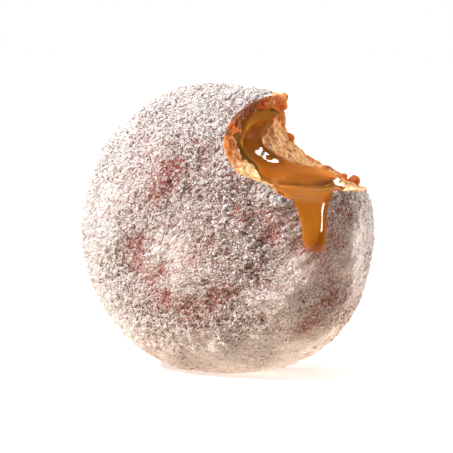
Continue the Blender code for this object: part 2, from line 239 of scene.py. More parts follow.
def relief(place):
    """Height of the slow lumps, dents and folds of the crust, at places measured from CENTRE."""
    x, y, z = np.moveaxis(place, -1, 0)
    height = np.zeros_like(x)
    for tall, across, through, up, phase in LUMPS:
        height = height + tall * MM * np.sin((across * x + through * y + up * z) / MM + phase)
    ring_x, ring_z, radius, spread, depth = FACE_RING
    from_ring = np.hypot(x - ring_x * MM, z - ring_z * MM) - radius * MM
    shown = ease(-y / SHOWN_FADE)
    height = height - shown * depth * MM * np.exp(-((from_ring / (spread * MM)) ** 2))
    valley = np.exp(-((off_line(x, z, VALLEY) / VALLEY_WIDTH) ** 2))
    crease = np.exp(-((off_line(x, z, CREASE) / CREASE_WIDTH) ** 2))
    return height - shown * (VALLEY_DEPTH * valley + CREASE_DEPTH * crease)


def body_field(points, inset=0.0):
    """Below zero inside the whole doughnut: a superellipse of revolution about Y, with a bulging rim."""
    place = points - CENTRE
    direction = np.degrees(np.arctan2(place[..., 2], place[..., 0]))
    rim = WIDTH / 2 - inset
    for middle, height, spread in RIM_BULGES:
        off = (direction - middle + 180) % 360 - 180
        rim = rim + height * MM * np.exp(-((off / spread) ** 2))
    out = np.hypot(place[..., 0], place[..., 2]) / rim
    through = np.abs(place[..., 1]) / (THICKNESS / 2 - inset)
    full = (out**SQUARENESS + through**SQUARENESS) ** (1 / SQUARENESS)
    return (full - 1) * WIDTH / 2 - relief(place)


def bite_field(points):
    """Below zero inside the bite: the distance outside the nearest tooth's channel."""
    place = points - CENTRE
    share = (place[..., 1] - TEETH_FRONT) / (TEETH_BACK - TEETH_FRONT)
    outside = None
    for tooth in TEETH:
        front, back = np.array(tooth[:3]) * MM, np.array(tooth[3:]) * MM
        x, z, radius = np.moveaxis(front + (back - front) * share[..., None], -1, 0)
        off = np.hypot(place[..., 0] - x, place[..., 2] - z) - radius
        outside = off if outside is None else soft_min(outside, off, TOOTH_BLEND)
    return outside


def heading(turn, around):
    """Directions at an angle from AXIS, in the half plane at an azimuth from RISE towards FRONT."""
    turn, around = np.broadcast_arrays(turn, around)
    side = np.cos(around)[..., None] * RISE + np.sin(around)[..., None] * FRONT
    return np.cos(turn)[..., None] * AXIS + np.sin(turn)[..., None] * side


def crust_point(turn, around):
    """The point of the crust that is seen from HEART at an angle from AXIS."""
    way = heading(turn, around)
    reach = first_zero(lambda r: body_field(HEART + way * r[..., None]), way.shape[:-1])
    return HEART + way * reach[..., None]


def bite_point(turn, around):
    """A point of the bite, at an angle from the direction that looks back from MOUTH to HEART."""
    way = heading(np.pi - turn, around)
    reach = first_zero(lambda r: bite_field(MOUTH + way * r[..., None]), way.shape[:-1])
    return MOUTH + way * reach[..., None]


def off_axis(points, origin, axis):
    """The angle at an origin between each point and an axis."""
    way = unit(points - origin)
    return np.arccos(np.clip(way @ axis, -1, 1))


def meridians(around):
    """The dough's surface at each azimuth, from the bite's deepest point over the lip and the crust
    to the far pole, with the length of each sample from the lip."""
    lip_turn = first_zero(lambda t: bite_field(crust_point(t, around)), around.shape, np.pi)
    lip_in_bite = off_axis(crust_point(lip_turn, around), MOUTH, -AXIS)
    share = np.linspace(0, 1, BITE_SAMPLES)
    bite = bite_point(lip_in_bite[:, None] * share, around[:, None])
    share = np.linspace(0, 1, CRUST_SAMPLES)[1:]
    crust = crust_point(lip_turn[:, None] + (np.pi - lip_turn[:, None]) * share, around[:, None])
    curve = np.concatenate([bite, crust], axis=1)
    steps = np.linalg.norm(np.diff(curve, axis=1), axis=-1)
    length = np.concatenate([np.zeros((len(around), 1)), np.cumsum(steps, axis=1)], axis=1)
    return curve, length - length[:, BITE_SAMPLES - 1 : BITE_SAMPLES]


def along(curve, length, wanted):
    """The points at the wanted lengths of each meridian, on straight runs between its samples."""
    places = np.empty(wanted.shape + (3,))
    for n in range(len(curve)):
        for axis in range(3):
            places[n, :, axis] = np.interp(wanted[n], length[n], curve[n, :, axis])
    return places


def uphill(field, points):
    """The direction in which a field grows fastest."""
    shifts = np.eye(3) * FEELER
    return unit(np.stack([field(points + d) - field(points - d) for d in shifts], axis=-1))


def facing(points, length):
    """Out of the dough: away from the crust, into the bite, and turning smoothly over the lip."""
    over = ease((length + LIP_ROUND) / (2 * LIP_ROUND))[..., None]
    return unit(over * uphill(body_field, points) - (1 - over) * uphill(bite_field, points))


def worn(around, length):
    """How far the lip is pressed down, in metres, at its right end."""
    off = (np.degrees(around) - WORN_AZIMUTH + 180) % 360 - 180
    return WORN * np.exp(-((off / WORN_SPREAD) ** 2)) * np.exp(-((length / WORN_REACH) ** 2))


def off_channel(points):
    """Away from the line through MOUTH along the thickness, which is how the bite's channel lies."""
    return unit((points - MOUTH) * (1, 0, 1))


def stand(points):
    """Presses what would reach below the surface that the doughnut stands on flat."""
    pressed = points.copy()
    pressed[..., 2] = soft_max(points[..., 2], 0.0, FLAT_EDGE)
    return pressed


# Random but repeatable patterns


def hashed(cells, salt):
    """A number from 0 to 1 for each whole-number cell, always the same for the same cell."""
    x, y, z = np.moveaxis(cells.astype(np.int64), -1, 0)
    # Large odd factors and shifts, which mix the digits of the key
    key = (x * 73856093) ^ (y * 19349663) ^ (z * 83492791) ^ (salt * 2654435761)
    key = (key ^ (key >> 13)) * 1274126177 & 0xFFFFFFFF
    key = (key ^ (key >> 16)) * 2246822519 & 0xFFFFFFFF
    return ((key ^ (key >> 15)) & 0xFFFFFF) / 0xFFFFFF


def cloud(places, pitch, salt):
    """Smooth noise from -1 to 1: hashed corner values, eased between the corners of each cell."""
    scaled = places / pitch
    corner = np.floor(scaled)
    share = ease(scaled - corner)
    total = np.zeros(places.shape[:-1])
    for offset in np.ndindex(2, 2, 2):
        weight = np.prod(np.where(offset, share, 1 - share), axis=-1)
        total = total + weight * hashed(corner + offset, salt)
    return total * 2 - 1


def clouds(places, layers, start=0.0):
    """A sum of clouds, each given as its pitch, its salt and its height."""
    return sum((cloud(places, pitch, salt) * tall for pitch, salt, tall in layers), start)


def clods(places, pitch, salt):
    """Distances, in pitches, to the nearest and the next of a set of scattered points."""
    scaled = places / pitch
    corner = np.floor(scaled)
    nearest = np.full(places.shape[:-1], np.inf)
    next_one = np.full(places.shape[:-1], np.inf)
    for offset in np.ndindex(3, 3, 3):
        cell = corner + np.array(offset) - 1
        point = cell + np.stack([hashed(cell, salt + n) for n in range(3)], axis=-1)
        away = np.linalg.norm(scaled - point, axis=-1)
        next_one = np.minimum(next_one, np.maximum(away, nearest))
        nearest = np.minimum(nearest, away)
    return nearest, next_one


# Meshes


def skin_mesh(name, first, rows, last):
    """A closed skin of rows that run round, shut by one point at each end, facing outwards."""
    count, around = rows.shape[:2]
    points = np.concatenate([first[None], rows.reshape(-1, 3), last[None]])
    row = np.arange(count - 1)[:, None] * around + 1
    column = np.arange(around)
    following = (column + 1) % around
    quads = np.stack([row + column, row + following, row + following + around, row + column + around], -1)
    quads = quads.reshape(-1, 4)
    top = 1 + (count - 1) * around
    opening = np.stack([np.zeros_like(column), 1 + following, 1 + column], axis=-1)
    closing = np.stack([np.full_like(column, len(points) - 1), top + column, top + following], axis=-1)
    halves = np.concatenate([quads[:, :3], quads[:, [0, 2, 3]], opening, closing])
    a, b, c = (points[halves[:, n]] for n in range(3))
    inside_out = np.einsum("ij,ij->", a, np.cross(b, c)) < 0
    faces = quads[:, ::-1] if inside_out else quads
    ends = np.concatenate([opening, closing])
    ends = ends[:, ::-1] if inside_out else ends
    return fill_mesh(name, points, faces, ends)


def fill_mesh(name, points, quads, triangles):
    """An object at the origin with these points, four-sided faces and triangles, shaded smooth."""
    mesh = bpy.data.meshes.new(name)
    mesh.vertices.add(len(points))
    mesh.vertices.foreach_set("co", np.asarray(points, np.float32).ravel())
    corners = np.concatenate([quads.ravel(), triangles.ravel()]).astype(np.int32)
    starts = np.concatenate([
        np.arange(len(quads)) * 4, len(quads) * 4 + np.arange(len(triangles)) * 3
    ]).astype(np.int32)
    mesh.loops.add(len(corners))
    mesh.loops.foreach_set("vertex_index", corners)
    mesh.polygons.add(len(starts))
    mesh.polygons.foreach_set("loop_start", starts)
    mesh.update(calc_edges=True)
    mesh.validate()
    mesh.shade_smooth()
    thing = bpy.data.objects.new(name, mesh)
    bpy.context.scene.collection.objects.link(thing)
    return thing


def one_body(things, voxel):
    """Joins closed skins that overlap into one, by voxels, and gives its points and its edges."""
    bpy.ops.object.select_all(action="DESELECT")
    for thing in things:
        thing.select_set(True)
    body = things[0]
    bpy.context.view_layer.objects.active = body
    bpy.ops.object.join()
    remesh = body.modifiers.new("one body", "REMESH")
    remesh.mode = "VOXEL"
    remesh.voxel_size = voxel
    evaluated = body.evaluated_get(bpy.context.evaluated_depsgraph_get())
    joined = bpy.data.meshes.new_from_object(evaluated)
    body.modifiers.clear()
    body.data = joined
    joined.shade_smooth()
    points = np.empty(len(joined.vertices) * 3, np.float32)
    joined.vertices.foreach_get("co", points)
    edges = np.empty(len(joined.edges) * 2, np.int32)
    joined.edges.foreach_get("vertices", edges)
    return body, points.reshape(-1, 3).astype(float), edges.reshape(-1, 2)


def smoothed(points, edges, times, share=0.5):
    """Moves each point a share of the way to the mean of its neighbours, several times."""
    count = np.bincount(edges.ravel(), minlength=len(points))
    share = np.broadcast_to(share, len(points))[:, None]
    for _ in range(times):
        total = np.zeros_like(points)
        for axis in range(points.shape[1]):
            total[:, axis] = np.bincount(
                edges.ravel(), weights=points[edges[:, ::-1].ravel(), axis], minlength=len(points)
            )
        points = points + (total / count[:, None] - points) * share
    return points


def smoothed_in_part(points, edges, times, share):
    """The same, worked out only for the points whose share is more than next to nothing."""
    chosen = share > NEXT_TO_NOTHING
    edges = edges[chosen[edges].any(axis=1)]
    used, local = np.unique(edges, return_inverse=True)
    points = points.copy()
    points[used] = smoothed(points[used], local.reshape(-1, 2), times, share[used] * chosen[used])
    return points


def keep_value(thing, name, values):
    """Stores one number for each point of a mesh, for its material to read."""
    kept = thing.data.attributes.new(name, "FLOAT", "POINT")
    kept.data.foreach_set("value", np.asarray(values, np.float32).ravel())


def keep_rows(thing, name, first, values, last):
    """The same for a skin_mesh: the values of its two ends and those of each meridian."""
    keep_value(thing, name, np.concatenate([[first], np.swapaxes(values, 0, 1).ravel(), [last]]))


def settle(thing, material, *nodes):
    """Gives a piece its material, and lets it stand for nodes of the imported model."""
    thing.data.materials.append(material)
    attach(thing, "root")
    if nodes:
        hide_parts(*nodes)


# Shader maths


class Value:
    """A socket in an expression: each sum, difference or product of it adds its Math node."""

    def __init__(self, maker, socket):
        self.maker = maker
        self.socket = socket

    def math(self, operation, first, second):
        """A Math node of two values or numbers."""
        return self.maker.add("ShaderNodeMath", {"operation": operation}, {0: first, 1: second})

    def __add__(self, other):
        return self.math("ADD", self, other)

    __radd__ = __add__

    def __sub__(self, other):
        return self.math("SUBTRACT", self, other)

    def __rsub__(self, other):
        return self.math("SUBTRACT", other, self)

    def __mul__(self, other):
        return self.math("MULTIPLY", self, other)

    __rmul__ = __mul__


class Maker:
    """Adds nodes to a material's or the world's tree."""

    def __init__(self, tree):
        self.tree = tree

    def add(self, kind, settings=None, sockets=None, output=0):
        """Adds a node, first its settings and then the values or links of its sockets, and gives
        one of its outputs."""
        node = self.tree.nodes.new(kind)
        for name, value in (settings or {}).items():
            setattr(node, name, value)
        for name, value in (sockets or {}).items():
            socket = node.inputs[name]
            if isinstance(value, Value):
                self.tree.links.new(value.socket, socket)
            elif socket.type == "RGBA":
                socket.default_value = (*value, 1)[:4]
            else:
                socket.default_value = value
        return Value(self, node.outputs[output])

    def kept(self, name):
        """A number that keep_value has stored on the mesh."""
        return self.add("ShaderNodeAttribute", {"attribute_name": name}, output="Fac")

    def place(self, stretch=(1, 1, 1), turned=(0, 0, 0)):
        """Object coordinates in mm, along axes turned by some angles and stretched by some factors."""
        here = self.add("ShaderNodeTexCoord", output="Object")
        scale = tuple(s * MM for s in stretch)
        settings = {"vector_type": "TEXTURE"}
        sockets = {"Vector": here, "Rotation": turned, "Scale": scale}
        return self.add("ShaderNodeMapping", settings, sockets)

    def noise(self, place, pitch, detail=2.0, rough=0.5):
        """Noise of about 0 to 1, with a pitch in mm."""
        sockets = {"Vector": place, "Scale": 1 / pitch, "Detail": detail, "Roughness": rough}
        return self.add("ShaderNodeTexNoise", sockets=sockets, output="Fac")

    def cells(self, place, pitch, feature="F1"):
        """How far, in pitches of some mm, a place is from the middle or the edge of its cell."""
        sockets = {"Vector": place, "Scale": 1 / pitch}
        return self.add("ShaderNodeTexVoronoi", {"feature": feature}, sockets, output="Distance")

    def step(self, value, low, high):
        """0 below low, 1 above high, eased between."""
        sockets = {"Value": value, "From Min": low, "From Max": high, "To Min": 0.0, "To Max": 1.0}
        return self.add("ShaderNodeMapRange", {"interpolation_type": "SMOOTHSTEP"}, sockets)

    def blend(self, share, first, second, way="MIX"):
        """Mixes two colours."""
        node = self.tree.nodes.new("ShaderNodeMix")
        node.data_type = "RGBA"
        node.blend_type = way
        for index, value in ((0, share), (6, first), (7, second)):
            socket = node.inputs[index]
            if isinstance(value, Value):
                self.tree.links.new(value.socket, socket)
            elif index == 0:
                socket.default_value = value
            else:
                socket.default_value = (*value, 1)[:4]
        return Value(self, node.outputs[2])

    def bump(self, height, strength, depth):
        """A normal that leans as if the surface rose by height times depth."""
        sockets = {"Height": height, "Strength": strength, "Distance": depth}
        return self.add("ShaderNodeBump", sockets=sockets, output="Normal")


def new_material(name, constants):
    """A material with a Principled shader, its unchanging sockets set, and a Maker for the rest."""
    material = bpy.data.materials.new(name)
    material.use_nodes = True
    tree = material.node_tree
    shader = tree.nodes["Principled BSDF"]
    for socket, value in constants.items():
        shader.inputs[socket].default_value = value
    return material, Maker(tree), shader


def wire(maker, shader, **sockets):
    """Links values to the shader's sockets, named with a line under the letters for each space."""
    for name, value in sockets.items():
        maker.tree.links.new(value.socket, shader.inputs[name.replace("_", " ")])


# What a user would change


class DoughnutSizes(bpy.types.PropertyGroup):
    """Sizes of what lies on the dough."""

    grain: FloatProperty(
        name="Sugar grain", description="Width of a typical grain", default=0.4 * MM, unit="LENGTH"
    )
    clump: FloatProperty(
        name="Sugar clump", description="Width of a typical clump", default=0.75 * MM, unit="LENGTH"
    )
    coat: FloatProperty(
        name="Coat relief", description="Height of the lumps of the sugar coat", default=0.47 * MM,
        unit="LENGTH",
    )
    pores: FloatProperty(
        name="Crumb relief", description="Height of the torn crumb's bumps", default=0.8 * MM,
        unit="LENGTH",
    )
    grains: IntProperty(name="Grains", description="Number of sugar grains", default=22000, min=100)
    clumps: IntProperty(name="Clumps", description="Number of sugar clumps", default=5000, min=10)


class DoughnutColours(bpy.types.PropertyGroup):
    """Colours of the dough, the sugar and the filling."""

    sugar: FloatVectorProperty(
        name="Sugar", description="Thick sugar", default=(0.88, 0.825, 0.80), subtype="COLOR"
    )
    thin_sugar: FloatVectorProperty(
        name="Thin sugar", description="Sugar that the crust shows through",
        default=(0.615, 0.445, 0.405), subtype="COLOR",
    )
    crust: FloatVectorProperty(
        name="Crust", description="Fried crust", default=(0.20, 0.075, 0.06), subtype="COLOR"
    )
    crumb: FloatVectorProperty(
        name="Crumb", description="Inside of the dough", default=(0.95, 0.57, 0.27), subtype="COLOR"
    )
    soaked: FloatVectorProperty(
        name="Soaked crumb", description="Crumb that the filling has soaked into",
        default=(0.84, 0.25, 0.06), subtype="COLOR",
    )
    # the crumb's brown next to the crust, and also the colour of the painted shade in the crumb's gaps
    # and on the bite's upper left side
    browned_and_shaded: FloatVectorProperty(
        name="Dusted crumb", description="Crumb next to the sugar", default=(0.34, 0.155, 0.095),
        subtype="COLOR",
    )
    caramel: FloatVectorProperty(
        name="Dulce de leche", description="The filling", default=(0.78, 0.243, 0.0195),
        subtype="COLOR",
    )


# Materials


BLACK = (0.0, 0.0, 0.0)
STREAK = (1.7, 1.0, 1.0)  # how far the coat's grain is drawn out along each turned axis
CRACK_STREAK = (1.5, 1, 1)  # the same for its cracks
STREAK_ANGLE = -0.9  # radians from the horizontal, down to the left
PINK_CRUST = (0.35, 0.09, 0.068)  # crust that the sugar has been rubbed off
GRAIN_PITCH = 0.75  # mm, as the next ones are
CRACK_PITCH = 0.8
DUST_PITCH = 0.36
COAT_BUMP = 1.3 * MM


def sugar_material(colours):
    """Fried crust under sugar: thick sugar is white, thin sugar lets the crust's brown through.

    The cover is the coat's thickness, raised by its grain, patches and dust and lowered by its
    pits and cracks, all of them stronger where the coat is rough. Its drop in the grain's low places, the
    pits and the cracks is partly thin sugar and partly painted shade."""
    material, maker, shader = new_material("sugared crust", {"Roughness": 0.9})
    place = maker.place()
    coat = maker.kept("coat")
    slanted = maker.place(STREAK, (0, STREAK_ANGLE, 0))
    fine = maker.noise(place, 0.5, detail=3.0, rough=0.75)
    patch = maker.noise(place, 3.0, detail=3.0, rough=0.6)
    grain = 1 - maker.cells(slanted, GRAIN_PITCH)
    middling = maker.noise(slanted, 1.5)
    rough = maker.kept("rough")
    pits = maker.step(maker.noise(slanted, GRAIN_PITCH, rough=0.6), 0.47, 0.35) * rough
    height = (grain * 0.55 + fine * 0.95 + middling * 0.2) * (rough * 0.7 + 0.3) - pits * 0.35
    colour_height = grain * 0.4 + fine * 0.7 + middling * 0.3 - pits * 0.3
    drawn = maker.place(CRACK_STREAK, (0, STREAK_ANGLE, 0))
    edges = maker.cells(drawn, CRACK_PITCH, "DISTANCE_TO_EDGE")
    cracks = 1 - maker.step(edges + (fine - 0.5) * 0.25, 0.02, 0.2)
    # partly thin sugar, partly painted shade: the cover drops, so the colour darkens, in the grain's low
    # places, the pits and the cracks
    cover = coat * 0.8 + (colour_height - 0.66) * (rough * 1.4 + 1.4) + (patch - 0.5) * 0.8 + 0.36
    cover = cover - cracks * (rough * 0.55 + 0.2) + 0.09
    dust = maker.noise(place, DUST_PITCH, detail=1.0)
    cover = cover + (dust - 0.5) * (rough * 2.4 + 0.8)
    height = height - cracks * (rough * 0.15 + 0.05)
    pale = maker.blend(maker.step(cover, 0.45, 1.1), colours.thin_sugar, colours.sugar)
    bare = maker.blend(maker.step(coat, 0.2, 0.5), PINK_CRUST, colours.crust)
    colour = maker.blend(maker.step(cover, -0.25, 0.45), bare, pale)
    wire(maker, shader, Base_Color=colour, Normal=maker.bump(height, 1.0, COAT_BUMP))
    return material


SHADED_GRAIN = (0.40, 0.25, 0.21)  # a grain that the crust's fat has soaked into


def grain_material(colours):
    """Sugar grains: off-white, each grain its own shade."""
    material, maker, shader = new_material("sugar grains", {"Roughness": 0.6})
    shade = maker.kept("shade")
    colour = maker.blend(shade, SHADED_GRAIN, colours.sugar)
    wire(maker, shader, Base_Color=colour)
    return material


HOLE_PITCH = 1.3  # mm
CRUMB_BUMP = 0.5 * MM


def crumb_material(colours):
    """Torn crumb: pale on its bumps, a painted highlight, orange where the filling has soaked in, and
    brown in its gaps, a painted shade.
    """
    constants = {
        "Roughness": 0.42,
        "Specular IOR Level": 0.35,
        "Subsurface Weight": 0.25,
        "Subsurface Scale": 1.2 * MM,
        "Subsurface Radius": (1.0, 0.45, 0.2),
    }
    material, maker, shader = new_material("crumb", constants)
    place = maker.place()
    fine = maker.noise(place, 1.1, detail=3.0, rough=0.6)
    soaked = maker.kept("soaked")
    ragged = maker.kept("ragged")
    coarse = maker.noise(place, 2.6)
    tone = soaked + (fine - 0.5) * (ragged * 1.6 + 1.2) + (coarse - 0.5) * ragged * 3.0
    colour = maker.blend(maker.step(tone, 0.1, 0.9), colours.crumb, colours.soaked)
    # tones over 1.2 turn brown: the crust's own brown along the lip, and painted shade on the bite's
    # upper left side
    colour = maker.blend(maker.step(tone, 1.2, 1.7), colour, colours.browned_and_shaded)
    # painted shade: the crumb's gaps are darkened towards the brown
    gaps = maker.step(maker.noise(place, 1.5, rough=0.55), 0.46, 0.33)
    colour = maker.blend(gaps * 0.6, colour, colours.browned_and_shaded)
    holes = maker.cells(place, HOLE_PITCH) - gaps * 0.5
    leaning = maker.bump(holes * 0.6 + fine, 0.8, CRUMB_BUMP)
    wire(maker, shader, Base_Color=colour, Normal=leaning)
    return material


CAVE_PAINTED_SHADE = (0.86, 1.1, 1.5)  # painted shade in the cave: what the filling's colour is multiplied by there
SWIRL_PITCH = 7.0  # mm
WET = 0.09  # roughness where the filling is wet, which grows by DRIED where it has dried dull
DRIED = 0.8
GLOSS = 0.6  # weight of the wet film, which a dull place loses


def caramel_material(colours):
    """Dulce de leche: thick, wet and glossy, dulled where its skin has dried, with painted shade that
    takes back the light's brightening, and more of it in the cave.
    """
    constants = {
        "Subsurface Weight": 0.35,
        "Subsurface Scale": 2.5 * MM,
        "Subsurface Radius": (1.0, 0.35, 0.06),
        "Coat Roughness": 0.03,
    }
    material, maker, shader = new_material("dulce de leche", constants)
    swirl = maker.noise(maker.place((1, 1, 3)), SWIRL_PITCH, rough=0.4)
    # painted shade in the cave: a darker, browner colour where the filling rises above the pool
    shaded_caramel = tuple(c * k for c, k in zip(colours.caramel, CAVE_PAINTED_SHADE))
    deep = maker.kept("deep") + (swirl - 0.5) * 0.25
    colour = maker.blend(maker.step(deep, 0.0, 1.0), colours.caramel, shaded_caramel)
    # painted shade: the colour is darkened where the reckoned light is stronger, and kept darker in front
    colour = maker.blend(maker.kept("evened"), colour, BLACK)
    dull = maker.kept("dull")
    film = GLOSS - dull * GLOSS
    wire(maker, shader, Base_Color=colour, Roughness=dull * DRIED + WET, Coat_Weight=film)
    return material


# The sugared crust

CRUST_COLUMNS = 430
CRUST_ROWS = 196
SHOWN_PATCHES = (  # x, y, z of the middle, and the radius, in mm from CENTRE: thin sugar
    (-18.9, -26.8, -5.8, 3.2), (-12.6, -27.6, -8.3, 2.3), (-16.4, -27.3, -12.0, 2.6),
    (-11.5, -27.0, 19.0, 4.0), (-1, -24.7, 27.9, 3.0), (-3.5, -26.9, -20.7, 3.6),
    (8.8, -27.8, -14.7, 3.0), (20.9, -27, 2.5, 3.2), (30.9, -18.6, -23.4, 3.0),
    (-14.8, -27.3, 14.4, 3.4), (-8, -26.8, 22.6, 3.2), (12.2, -28.1, 8.1, 3.0),
    (-11.9, -26.8, -18.2, 3.0), (-23.7, -24.7, -16, 2.2), (-19.8, -27.2, -0.5, 2.4),
    (41.9, -12.6, 7.4, 2.6), (36.5, -17, -17.4, 2.4), (27.9, -18.7, -26.5, 2.6),
    (5.5, -18.1, 37.9, 2.6), (3.5, -27.6, -17.3, 3.4), (10.8, -13.1, 40.7, 2.4),
)
USUAL_COAT = 0.62  # how thick the sugar lies before the rest is added and taken away
COAT_CLOUDS = ((9.0, 11, 0.16), (4.2, 12, 0.12))  # pitch in mm, salt and how much thicker
PATCH_THINNER = 0.62
SCATTERED_PATCH_PITCH = 11.0
THINNED_AND_SHADED = (  # x and z of the middle from CENTRE, width, height and how much thinner; the first three, on the right side, at the lower right and under the lip, are painted shade
    (36, -1, 8, 14, 0.53), (29, -26, 9, 8, 0.22), (21, 7, 8, 6, 0.4), (-3, -3, 12, 9, 0.27),
)
BARE_TIP = (12.5, 2.5, 41.5, 4.6)  # x, y, z and radius of the torn tip, which has lost its sugar
RING_SPREAD = 4.2  # mm to each side of FACE_RING, where the coat is thinner
PRESSED = (-6, -5, 11, 9, 0.55)  # x and z of a smooth spot, its width and height, how much smoother
TORN_EDGE = (-0.7, -2.4)  # mm from the lip, into the bite, of two rows of skin under the crumb
TORN_EDGE_INSET = (0.3, 0.9)  # mm that each of them lies under the bite's face
SWELLS = (  # x, y, z of the middle from CENTRE, radius and height in mm: heaps of thick sugar
    (18.4, -26.5, 12.9, 1.9, 1.0), (22.1, -25.9, 12.0, 1.7, 1.1), (24.8, -25.2, 11.3, 1.5, 0.8),
    (4.3, -9.9, 43.4, 2.2, 0.9), (8.8, -11.4, 42.0, 1.9, 0.9), (10.9, -8.0, 42.8, 1.8, 0.8),
)


def on_face(y):
    """1 on the shown face, fading to 0 at the middle plane, for y in mm from CENTRE."""
    return ease(-y / (SHOWN_FADE / MM))


def roughness_of(place):
    """How broken the coat is, from 0 where it is pressed smooth to 1: it is smoother on a spot in
    the middle of the face, at the lower right and along the foot."""
    x, y, z = np.moveaxis(place, -1, 0)
    across, up, wide, tall, smoother = PRESSED
    smooth = smoother * np.exp(-(((x - across) / wide) ** 2 + ((z - up) / tall) ** 2))
    smooth = smooth + 0.44 * ease((x - 14) / 12) * ease((16 - z) / 12) + 0.5 * ease((-z - 24) / 12)
    shown = on_face(y)
    return np.clip(0.85 - smooth * shown + 0.3 * cloud(place, 8.0, 61), 0.1, 1)


def heaps(place):
    """Height in mm of the heaps of thick sugar."""
    height = np.zeros(place.shape[:-1])
    for x, y, z, radius, tall in SWELLS:
        off = np.linalg.norm(place - (x, y, z), axis=-1)
        height = height + tall * np.exp(-((off / radius) ** 2))
    return height


def coat_of(place):
    """How thick the sugar lies, from 0 to 1, at places in mm from CENTRE.

    Clouds of two sizes, thinner along the face's ring, most of all at its lower left. It is thicker, and
    so whiter, towards the left and on the right rim as painted light where the key and rim suns fall,
    towards the foot partly as painted light from below, and towards the top; then it is thinned spot by
    spot."""
    x, y, z = np.moveaxis(place, -1, 0)
    thick = clouds(place, COAT_CLOUDS, USUAL_COAT)
    ring_x, ring_z, radius, _, _ = FACE_RING
    off_ring = (np.hypot(x - ring_x, z - ring_z) - radius) / RING_SPREAD
    shown = on_face(y)
    low_left = 0.12 + 0.16 * ease((6 - x) / 16) * ease((10 - z) / 14)
    # thicker, so whiter, towards the left: painted light where the key sun falls
    thick = thick - low_left * shown * np.exp(-(off_ring**2)) + 0.55 * ease((-x - 20) / 14)
    # thicker towards the foot, partly painted light from below, and towards the top
    thick = thick + 0.35 * ease((-z - 20) / 14) + 0.2 * ease((z - 26) / 10)
    # thicker, so whiter, at the lower left: painted light on that lit side
    thick = thick + 0.3 * ease((-x - 12) / 12) * ease((-z - 4) / 12) + 0.05
    # thicker, so whiter, on the right rim: painted light where the rim sun falls
    thick = thick + 0.5 * ease((x - 40.5) / 3)
    # painted shade: the coat, and so its colour, is thinned on the shaded right side and under the lip
    for px, pz, wide, tall, less in THINNED_AND_SHADED:
        off = ((x - px) / wide) ** 2 + ((z - pz) / tall) ** 2
        thick = thick - less * np.exp(-off) * shown
    for px, py, pz, radius in SHOWN_PATCHES:
        off = np.sqrt((x - px) ** 2 + (y - py) ** 2 + (z - pz) ** 2)
        thick = thick - PATCH_THINNER * np.exp(-((off / radius) ** 2))
    spots = ease((cloud(place, SCATTERED_PATCH_PITCH, 13) - 0.35) / 0.4) * (1 - shown)
    tip = np.linalg.norm((place - np.array(BARE_TIP[:3])) / BARE_TIP[3], axis=-1)
    return thick - 0.3 * spots - 0.9 * np.exp(-(tip**4)) + 0.55 * heaps(place)


CLOD_SLANT = np.array(((0.78, 0, 0.45), (0, 1, 0), (-0.62, 0, 0.98)))
CLOD_PITCH = 2.3  # mm
SMALL_CLOD_PITCH = 1.25
COAT_SWELLS = ((6.0, 27, 0.9), (3.1, 28, 0.7))  # pitch in mm, salt and height
COAT_LIP = 1.2  # mm over which the relief grows from the lip on


def coat_relief(place, length):
    """Height of the sugar coat's lumps, for a relief of 1: clods of two sizes, drawn out along a
    slant across the face, with cracks between them, over slower swells. The clods are lower where
    the coat is pressed smooth, and all of it is lower near the lip."""
    drawn = place @ CLOD_SLANT.T
    near, beside = clods(drawn, CLOD_PITCH, 21)
    tight, _ = clods(drawn, SMALL_CLOD_PITCH, 24)
    cracks = np.exp(-((beside - near) / 0.14))
    swell = clouds(place, COAT_SWELLS)
    rough = 0.25 + 0.75 * roughness_of(place)
    bumps = (1 - ease(near * 1.15)) * 1.2 + (1 - ease(tight * 1.2)) * 0.9 - 0.85 - 0.7 * cracks
    return (bumps * rough + swell) * ease(length / MM / COAT_LIP + 0.35)


POCKET_ROWS = 9
POCKET_CROWDING = 1.4  # over 1, the rows lie closer together near the shoulder


def pocket_rows(curve, length, around):
    """The skin round the pocket: from the bite's opening into the dough, then seen from HEART."""
    opening = round_the_axis(around, BRINK) * MM
    ledge = along(curve, length, -opening[:, None])
    shoulder = ledge[:, -1] + off_channel(ledge[:, -1]) * SHOULDER
    shoulder_turn = off_axis(shoulder, HEART, AXIS)[:, None]
    shoulder_reach = np.linalg.norm(shoulder - HEART, axis=-1)[:, None]
    shares = (np.arange(1, POCKET_ROWS + 1) / POCKET_ROWS) ** POCKET_CROWDING
    turn = shoulder_turn + (np.pi - shoulder_turn) * shares
    way = heading(turn, around[:, None])

    def field(reach):
        points = HEART + way * reach[..., None]
        return soft_max(body_field(points, WALL), ROOF - bite_field(points), POCKET_BLEND)

    wide = first_zero(field, turn.shape)
    open_out = ease((turn - shoulder_turn) / NECK)
    reach = shoulder_reach + (wide - shoulder_reach) * open_out
    wall = HEART + way * reach[..., None]
    return np.concatenate([shoulder[:, None], wall], axis=1)


HIDDEN_COAT = 0.3  # what coat says on the wall of the pocket


